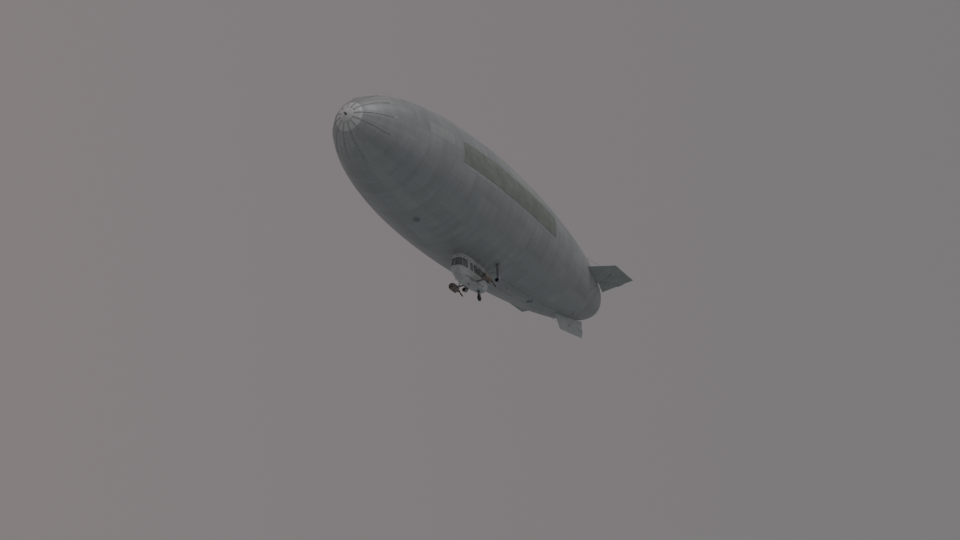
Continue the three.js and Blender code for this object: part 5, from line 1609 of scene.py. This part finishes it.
def makePanel():
    face, middle = dash["faceX"], (dash["low"] + dash["high"]) / 2
    parts = [block("board", (face, -0.2, dash["low"]), (2.76, 0.2, dash["high"]), 0.008, 3)]
    parts.append(block("stand", (2.69, -0.06, floorTop), (2.78, 0.06, -4.4), 0.006, 3))
    whole = joined("panel_board", parts)
    finishPiece(whole, panelPlastic, smooth=40)
    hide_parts("instrument_panel")
    rims, faces, needles = [], [], []
    for k, (y, radius) in enumerate(dash["dials"]):
        centre = Vector((face, y, middle + 0.015))
        rim = [
            (0.001, radius), (-0.006, radius), (-0.007, radius - 0.003), (-0.003, radius - 0.005),
            (0.001, radius - 0.005),
        ]
        rims.append(lathe("dial_rim", rim, centre, "X", 28))
        faces.append(
            lathe(
                "dial_face", [(0.0, 0.0), (0.0, radius - 0.004), (-0.001, radius - 0.004), (-0.001, 0.0)],
                centre, "X", 28,
            )
        )
        for turn in range(0, 300, 30):
            angle = math.radians(turn - 60)
            out = Vector((0, math.cos(angle), math.sin(angle)))
            ends = [centre + out * (radius - share) + Vector((-0.0016, 0, 0)) for share in (0.011, 0.007)]
            needles.append(tube("tick", ends, 0.0007, 6))
        angle = math.radians(40 + 55 * k)
        tip = Vector((0, math.cos(angle), math.sin(angle))) * (radius - 0.009)
        needles.append(
            tube(
                "needle", [centre + Vector((-0.003, 0, 0)), centre + tip + Vector((-0.003, 0, 0))], 0.0009,
                6,
            )
        )
    for k in range(8):
        y = -0.14 + 0.04 * k
        needles.append(
            tube("switch", [(face - 0.001, y, middle - 0.052), (face - 0.016, y, middle - 0.046)], 0.0028, 8)
        )
    finishPiece(joined("dial_rims", rims), strutPaint, smooth=40)
    finishPiece(joined("dial_faces", faces), sealRubber, smooth=40)
    finishPiece(joined("dial_needles", needles), clearLens, smooth=40)


helm = {"place": (2.33, 0.035, -4.56), "radius": 0.095, "rimRadius": 0.0088, "spokes": 6}


def makeControlWheel():
    centre, radius = Vector(helm["place"]), helm["radius"]
    x, y, z = helm["place"]
    deselectAll()
    bpy.ops.mesh.primitive_torus_add(
        major_radius=radius,
        minor_radius=helm["rimRadius"],
        major_segments=48,
        minor_segments=12,
        location=centre,
        rotation=(math.pi / 2, 0, 0),
    )
    parts = [bpy.context.object]
    for k in range(helm["spokes"]):
        turn = math.radians(k * 360 / helm["spokes"])
        out = Vector((math.cos(turn), 0, math.sin(turn)))
        parts.append(tube("spoke", [centre + out * 0.015, centre + out * radius], 0.0055, 10))
    parts.append(
        lathe(
            "nave",
            [(-0.014, 0), (-0.014, 0.02), (-0.01, 0.024), (0.008, 0.024), (0.012, 0.018), (0.012, 0)],
            (x, y, z), "Y", 24,
        )
    )
    parts.append(lathe("axle", [(-0.026, 0), (-0.026, 0.01), (0.0, 0.01), (0.0, 0)], (x, y, z), "Y", 16))
    parts.append(block("stand", (x - 0.012, y - 0.026, floorTop), (x + 0.012, y - 0.014, z + 0.01), 0.004))
    standIn("control_wheel", "_turned", parts, panelPlastic)


makeSeats()
makePanel()
makeControlWheel()
print("cabin made")

# Outside of the car: mouldings, rails, lights and aerials
rail = {"z": -4.8, "out": 0.045, "radius": 0.01, "fore": 2.42, "aft": 0.32, "posts": 4}
outside = {
    "jointX": (2.2, 0.15),
    "jointZ": (-4.49, -4.36, -4.2, -4.06, -3.9, -3.76, -3.706),
    "screwRows": (-4.47, -3.74),
    "screwsFrom": 0.2,
    "screwsTo": 2.16,
    "screwEvery": 0.075,
    "cables": (0.1, 0.7, 1.3, 1.9, 2.5),
    "cableFootZ": -3.73,
    "cableSpread": 13,  # degrees from the keel line
    "leads": 9,
    "leadSpread": 7,
    "leadsFrom": -0.55,
    "leadsLength": 10.6,
}


def pastDoor(z, proud):  # points round the car from the doorway's rear edge by the tail to its front edge
    ring = carRing(z, proud)
    turns = ring[8:] + ring[:7]
    return [
        skinAt(z, doorway["aftX"] - 0.014, 90, proud), *turns,
        skinAt(z, doorway["foreX"] + 0.014, 90, proud),
    ]


def makeMouldings():
    belt = tube("belt", pastDoor(car["beltZ"], 0.002), 0.007, 8)
    eaves = tube("eaves", carRing(car["roofZ"], 0.001), 0.006, 8, True)
    joints = []
    for x in outside["jointX"]:
        for turn in (90, -90):
            joints.append(tube("joint", [skinAt(z, x, turn, 0.0005) for z in outside["jointZ"]], 0.0035, 6))
    finishPiece(joined("car_mouldings", [belt, eaves, *joints]), carPaint, smooth=60)
    low, high = doorway["aftX"] + 0.006, doorway["foreX"] - 0.006
    path = [skinAt(car["beltZ"], low + (high - low) * k / 4, 90, 0.002) for k in range(5)]
    finishPiece(tube("door_moulding", path, 0.007, 8), carPaint, "door", smooth=60)

    model = lathe(
        "screw", [(-0.001, 0.0042), (0.0012, 0.004), (0.0022, 0.0025), (0.0024, 0.0)], axis="Y", steps=8
    )
    mirrored = copyOf(model, "screw_starboard")
    mirrored.rotation_euler.z = math.pi
    screws = []
    for turn, screw in ((90, model), (-90, mirrored)):
        for z in outside["screwRows"]:
            count = int((outside["screwsTo"] - outside["screwsFrom"]) / outside["screwEvery"])
            for k in range(count):
                x = outside["screwsFrom"] + outside["screwEvery"] * k
                if turn > 0 and doorway["aftX"] - 0.05 < x < doorway["foreX"] + 0.12:
                    continue
                screws.append(copyOf(screw, "screw", skinAt(z, x, turn)))
    finishPiece(joined("car_screws", screws), steelWire, smooth=50)
    bpy.data.objects.remove(model)
    bpy.data.objects.remove(mirrored)


boot = {"z": -3.47, "hems": ((0.004, 0.004), (0.075, 0.006)), "bead": 0.013, "thick": 0.005}


def makeBoot():  # the skirt with its beaded hem that closes the gap between the car's roof and the envelope
    hems = []
    for out, gap in boot["hems"]:  # how far out from the car, and under the envelope
        ring = carRing(boot["z"], out)
        hems.append([Vector((p.x, p.y, -math.sqrt(radiusAt(p.x) ** 2 - p.y**2) - gap)) for p in ring])
    bead = tube("bead", [point - Vector((0, 0, 0.01)) for point in hems[0]], boot["bead"], 10, True)
    loops = []
    for points in hems:
        line = drawLine("hem", [*points, points[0]])
        cleanUp(line)
        loops.append(line)
    skirt = joined("skirt", loops)
    editAll(skirt)
    bpy.ops.mesh.bridge_edge_loops()
    bpy.ops.mesh.subdivide(number_cuts=1)
    bpy.ops.object.mode_set(mode="OBJECT")
    applyModifier(skirt, "SOLIDIFY", thickness=boot["thick"], offset=0)
    cleanUp(skirt)
    finishPiece(joined("car_boot", [bead, skirt]), tapeCloth, smooth=60)


def makeCarCables():
    wires, patches = [], []
    for x in outside["cables"]:
        for turn, clock in ((90, -90 + outside["cableSpread"]), (-90, -90 - outside["cableSpread"])):
            foot = skinAt(outside["cableFootZ"], x, turn, 0.004)
            land = onHull(x, clock, 0.006)
            line = foot - land
            wires.append(tube("cable", [foot, land], 0.004, 8))
            wires.append(turnbuckleAt("turnbuckle", land.lerp(foot, 0.35), line))
            eye = block("eye", (-0.014, -0.006, -0.02), (0.014, 0.006, 0.02), 0.004)
            eye.location = foot
            wires.append(eye)
            patches.append(patchOn("patch", x, clock, 0.13))
    finishPiece(joined("car_cables", wires), steelWire, smooth=50)
    finishPiece(joined("car_cable_patches", patches), tapeCloth, smooth=60)

    leads = []
    for side in (-1, 1):
        clock = -90 + outside["leadSpread"] * side
        every = outside["leadsLength"] / (outside["leads"] - 1)
        stations = [outside["leadsFrom"] - every * k for k in range(outside["leads"])]
        path = [Vector((-0.2, 0.16 * side, -3.6))] + [onHull(x, clock, 0.05) for x in stations]
        leads.append(tube("control_cable", path, 0.0035, 6))
        for x in stations[1:]:
            centre = onHull(x, clock, 0.05)
            ring = lathe(
                "fairlead", [(-0.012, 0.008), (-0.012, 0.014), (0.012, 0.014), (0.012, 0.008)], centre, "X",
                12,
            )
            post = tube("post", [onHull(x, clock, 0.036), onHull(x, clock, 0.0)], 0.005, 8)
            base = lathe(
                "base", [(-0.003, 0.0), (-0.003, 0.03), (0.003, 0.03), (0.003, 0.0)], axis="Z", steps=12
            )
            base.location = onHull(x, clock, 0.004)
            leads += [ring, post, base]
    finishPiece(joined("control_cables", leads), steelWire, smooth=50)


def makeHandrails():
    for name, side in flanks.items():
        points = [p for p in carRing(rail["z"], rail["out"]) if rail["aft"] < p.x < rail["fore"] and p.y > 0]
        points = [Vector((p.x, p.y * side, p.z)) for p in points]
        parts = [
            tube(
                "bar", [Vector(p) for p in smoothProfile([tuple(p) for p in points], 4)],
                rail["radius"] * 0.99, 12,
            )
        ]
        for k in range(rail["posts"]):
            at = points[round(k * (len(points) - 1) / (rail["posts"] - 1))]
            inward = Vector((at.x, at.y - side * rail["out"] * 3, at.z + 0.02))
            skinY = abs(skinAt(at.z + 0.007, at.x, 90 * side).y)
            share = (abs(at.y) - skinY - 0.0005) / (rail["out"] * 3)
            foot = at.lerp(inward, share)
            parts.append(tube("post", [at, foot], rail["radius"] * 0.8, 10))
            plate = block("plate", (-0.02, -0.003, -0.02), (0.02, 0.003, 0.02), 0.0025)
            plate.location = foot + Vector((0, side * 0.004, 0))
            parts.append(plate)
        standIn(f"handrail_{name}", "_bent", parts, strutPaint, smooth=50)
        dressNode(f"outrigger_{name}", strutPaint, bevel=0.002, smooth=50)


def lamp(name, centre, radius, axis, way, lens):
    # a domed lens in a turned ring; way is 1 or -1 along the axis
    ring = [
        (-0.004, radius * 0.9), (-0.004, radius * 1.2), (0.006, radius * 1.2), (0.009, radius * 1.05),
        (0.006, radius),
    ]
    dome = [
        (0.0, radius * 0.99), (radius * 0.45, radius * 0.86), (radius * 0.75, radius * 0.5),
        (radius * 0.86, 0.0),
    ]
    base = lathe(name + "_ring", [(place * way, r) for place, r in ring], centre, axis, 24)
    glass = lathe(name + "_lens", [(place * way, r) for place, r in dome], centre, axis, 24)
    finishPiece(base, strutPaint, smooth=40)
    finishPiece(glass, lens, smooth=60)


lights = {
    "side": (-4.56, 2.36),  # z and x
    "sideRadius": 0.018,
    "bellyX": -3.2,
    "topX": -2.2,
    "beaconRadius": 0.035,
    "tail": (-11.7, 0, -3.255),
    "tailRadius": 0.016,
    "landing": (-4.77, 2.3),  # z, and an x inside the car's nose
}


def makeLights():
    lamp("port_light", skinAt(*lights["side"], 90, 0.002), lights["sideRadius"], "Y", 1, redLens)
    lamp("starboard_light", skinAt(*lights["side"], -90, 0.002), lights["sideRadius"], "Y", -1, greenLens)
    lamp("belly_beacon", onHull(lights["bellyX"], -90, 0.012), lights["beaconRadius"], "Z", -1, redLens)
    lamp("top_beacon", onHull(lights["topX"], 90, 0.012), lights["beaconRadius"], "Z", 1, redLens)
    lamp("tail_light", lights["tail"], lights["tailRadius"], "Z", -1, clearLens)
    face = skinAt(*lights["landing"], 0)
    housing = [(-0.03, 0.03), (0.0, 0.05), (0.04, 0.054), (0.046, 0.052), (0.044, 0.046), (0.03, 0.044)]
    shell = lathe("landing_light_housing", housing, face, "X", 32)
    finishPiece(shell, carPaint, smooth=40)
    lens = lathe("landing_light_lens", [(0.034, 0.0455), (0.038, 0.03), (0.04, 0.0)], face, "X", 32)
    finishPiece(lens, clearLens, smooth=60)


aerials = {
    "whips": ((2.3, 0.24), (0.95, 0.2)),  # x and length
    "whipRake": 0.05,
    "keelZ": -4.9,
    "bladeFore": 1.62,
    "bladeAft": 1.5,
    "bladeTip": -4.99,
    "bladeTaper": 0.55,
    "pitot": (-4.56, 2.3, 14),  # z, an x inside the car and the degrees to port
}


def makeAerials():
    parts, keel, tip = [], aerials["keelZ"], aerials["bladeTip"]
    socket = [(0.0, 0), (0.0, 0.022), (-0.006, 0.022), (-0.012, 0.01), (-0.03, 0.006), (-0.03, 0)]
    for x, length in aerials["whips"]:
        parts.append(lathe("socket", socket, (x, 0, keel), "Z", 16))
        whip = [(x, 0, keel - 0.01), (x - aerials["whipRake"], 0, keel - length)]
        parts.append(tube("whip", whip, 0.003, 8))
    low, high = (aerials["bladeAft"], -0.004, tip), (aerials["bladeFore"], 0.004, keel + 0.001)
    bladeAerial = block("blade_aerial", low, high, 0.003)
    selectWhere(bladeAerial, "VERT", lambda vertex: (bladeAerial.matrix_world @ vertex.co).z < keel - 0.05)
    taper = (aerials["bladeTaper"], 1, 1)
    bpy.ops.transform.resize(value=taper, center_override=(aerials["bladeAft"], 0, tip))
    bpy.ops.object.mode_set(mode="OBJECT")
    parts.append(bladeAerial)
    mast = skinAt(*aerials["pitot"])
    shifts = ((-0.01, 0, 0), (0.02, 0, -0.03), (0.03, 0, -0.05), (0.1, 0, -0.05))
    parts.append(tube("pitot", [mast + Vector(shift) for shift in shifts], 0.006, 10))
    finishPiece(joined("aerials_and_pitot", parts), steelWire, smooth=50)


wiper = {
    "turns": (-17, 17),  # degrees from the nose
    "footZ": -4.365,
    "middleZ": -4.1,
    "inward": 0.55,  # how much nearer to the middle the blade is
    "bladeZ": (-4.27, -4.18, -4.1, -4.02, -3.93),
}


def makeWipers():
    parts, fromX = [], car["noseFanX"]
    spindle = [(-0.008, 0.012), (0.006, 0.012), (0.01, 0.006), (0.01, 0.0)]
    for turn in wiper["turns"]:
        foot = skinAt(wiper["footZ"], fromX, turn, 0.006)
        parts.append(lathe("spindle", spindle, foot, "X", 16))
        tip = skinAt(wiper["middleZ"], fromX, turn * wiper["inward"], 0.01)
        arm = [foot + Vector((0.008, 0, 0)), foot.lerp(tip, 0.5) + Vector((0.012, 0, 0)), tip]
        parts.append(tube("arm", arm, 0.003, 8))
        edge = [skinAt(z, fromX, turn * wiper["inward"], 0.005) for z in wiper["bladeZ"]]
        parts.append(tube("wiper", edge, 0.004, 8))
    finishPiece(joined("wipers", parts), sealRubber, smooth=50)


doorStep = {"aft": 1.78, "fore": 1.94, "top": -4.82, "bend": -4.93, "low": -4.965, "in": 0.34, "out": 0.44}


def makeDoorStep():
    aft, fore, bend, low, out = (doorStep[key] for key in ("aft", "fore", "bend", "low", "out"))
    step = [(aft, doorStep["in"], doorStep["top"]), (aft, out - 0.01, bend), (aft + 0.005, out, bend - 0.025)]
    step += [(aft + 0.02, out, low), (fore - 0.02, out, low), (fore - 0.005, out, bend - 0.025)]
    step += [(fore, out - 0.01, bend), (fore, doorStep["in"], doorStep["top"])]
    loop = tube("step_loop", step, 0.009, 10)
    tread = block(
        "tread", (aft + 0.015, out - 0.028, low + 0.003), (fore - 0.015, out + 0.028, low + 0.011), 0.003
    )
    finishPiece(joined("door_step", [loop, tread]), strutPaint, smooth=50)


fillerCaps = {"z": -4.62, "places": ((0.95, 90), (0.95, -90), (1.55, 90))}  # x and the side that it faces


def makeFillerCaps():
    caps = []
    profile = [(0.0, 0.04), (0.004, 0.04), (0.006, 0.036), (0.003, 0.032), (0.003, 0.012), (0.009, 0.01)]
    profile.append((0.009, 0.0))
    for x, turn in fillerCaps["places"]:
        side = 1 if turn > 0 else -1
        centre = skinAt(fillerCaps["z"], x, turn)
        caps.append(lathe("cap", [(place * side, radius) for place, radius in profile], centre, "Y", 28))
    finishPiece(joined("filler_caps", caps), tailMetal, smooth=40)


makeMouldings()
makeBoot()
makeCarCables()
makeHandrails()
makeLights()
makeAerials()
makeWipers()
makeDoorStep()
makeFillerCaps()
print("car's outside made")
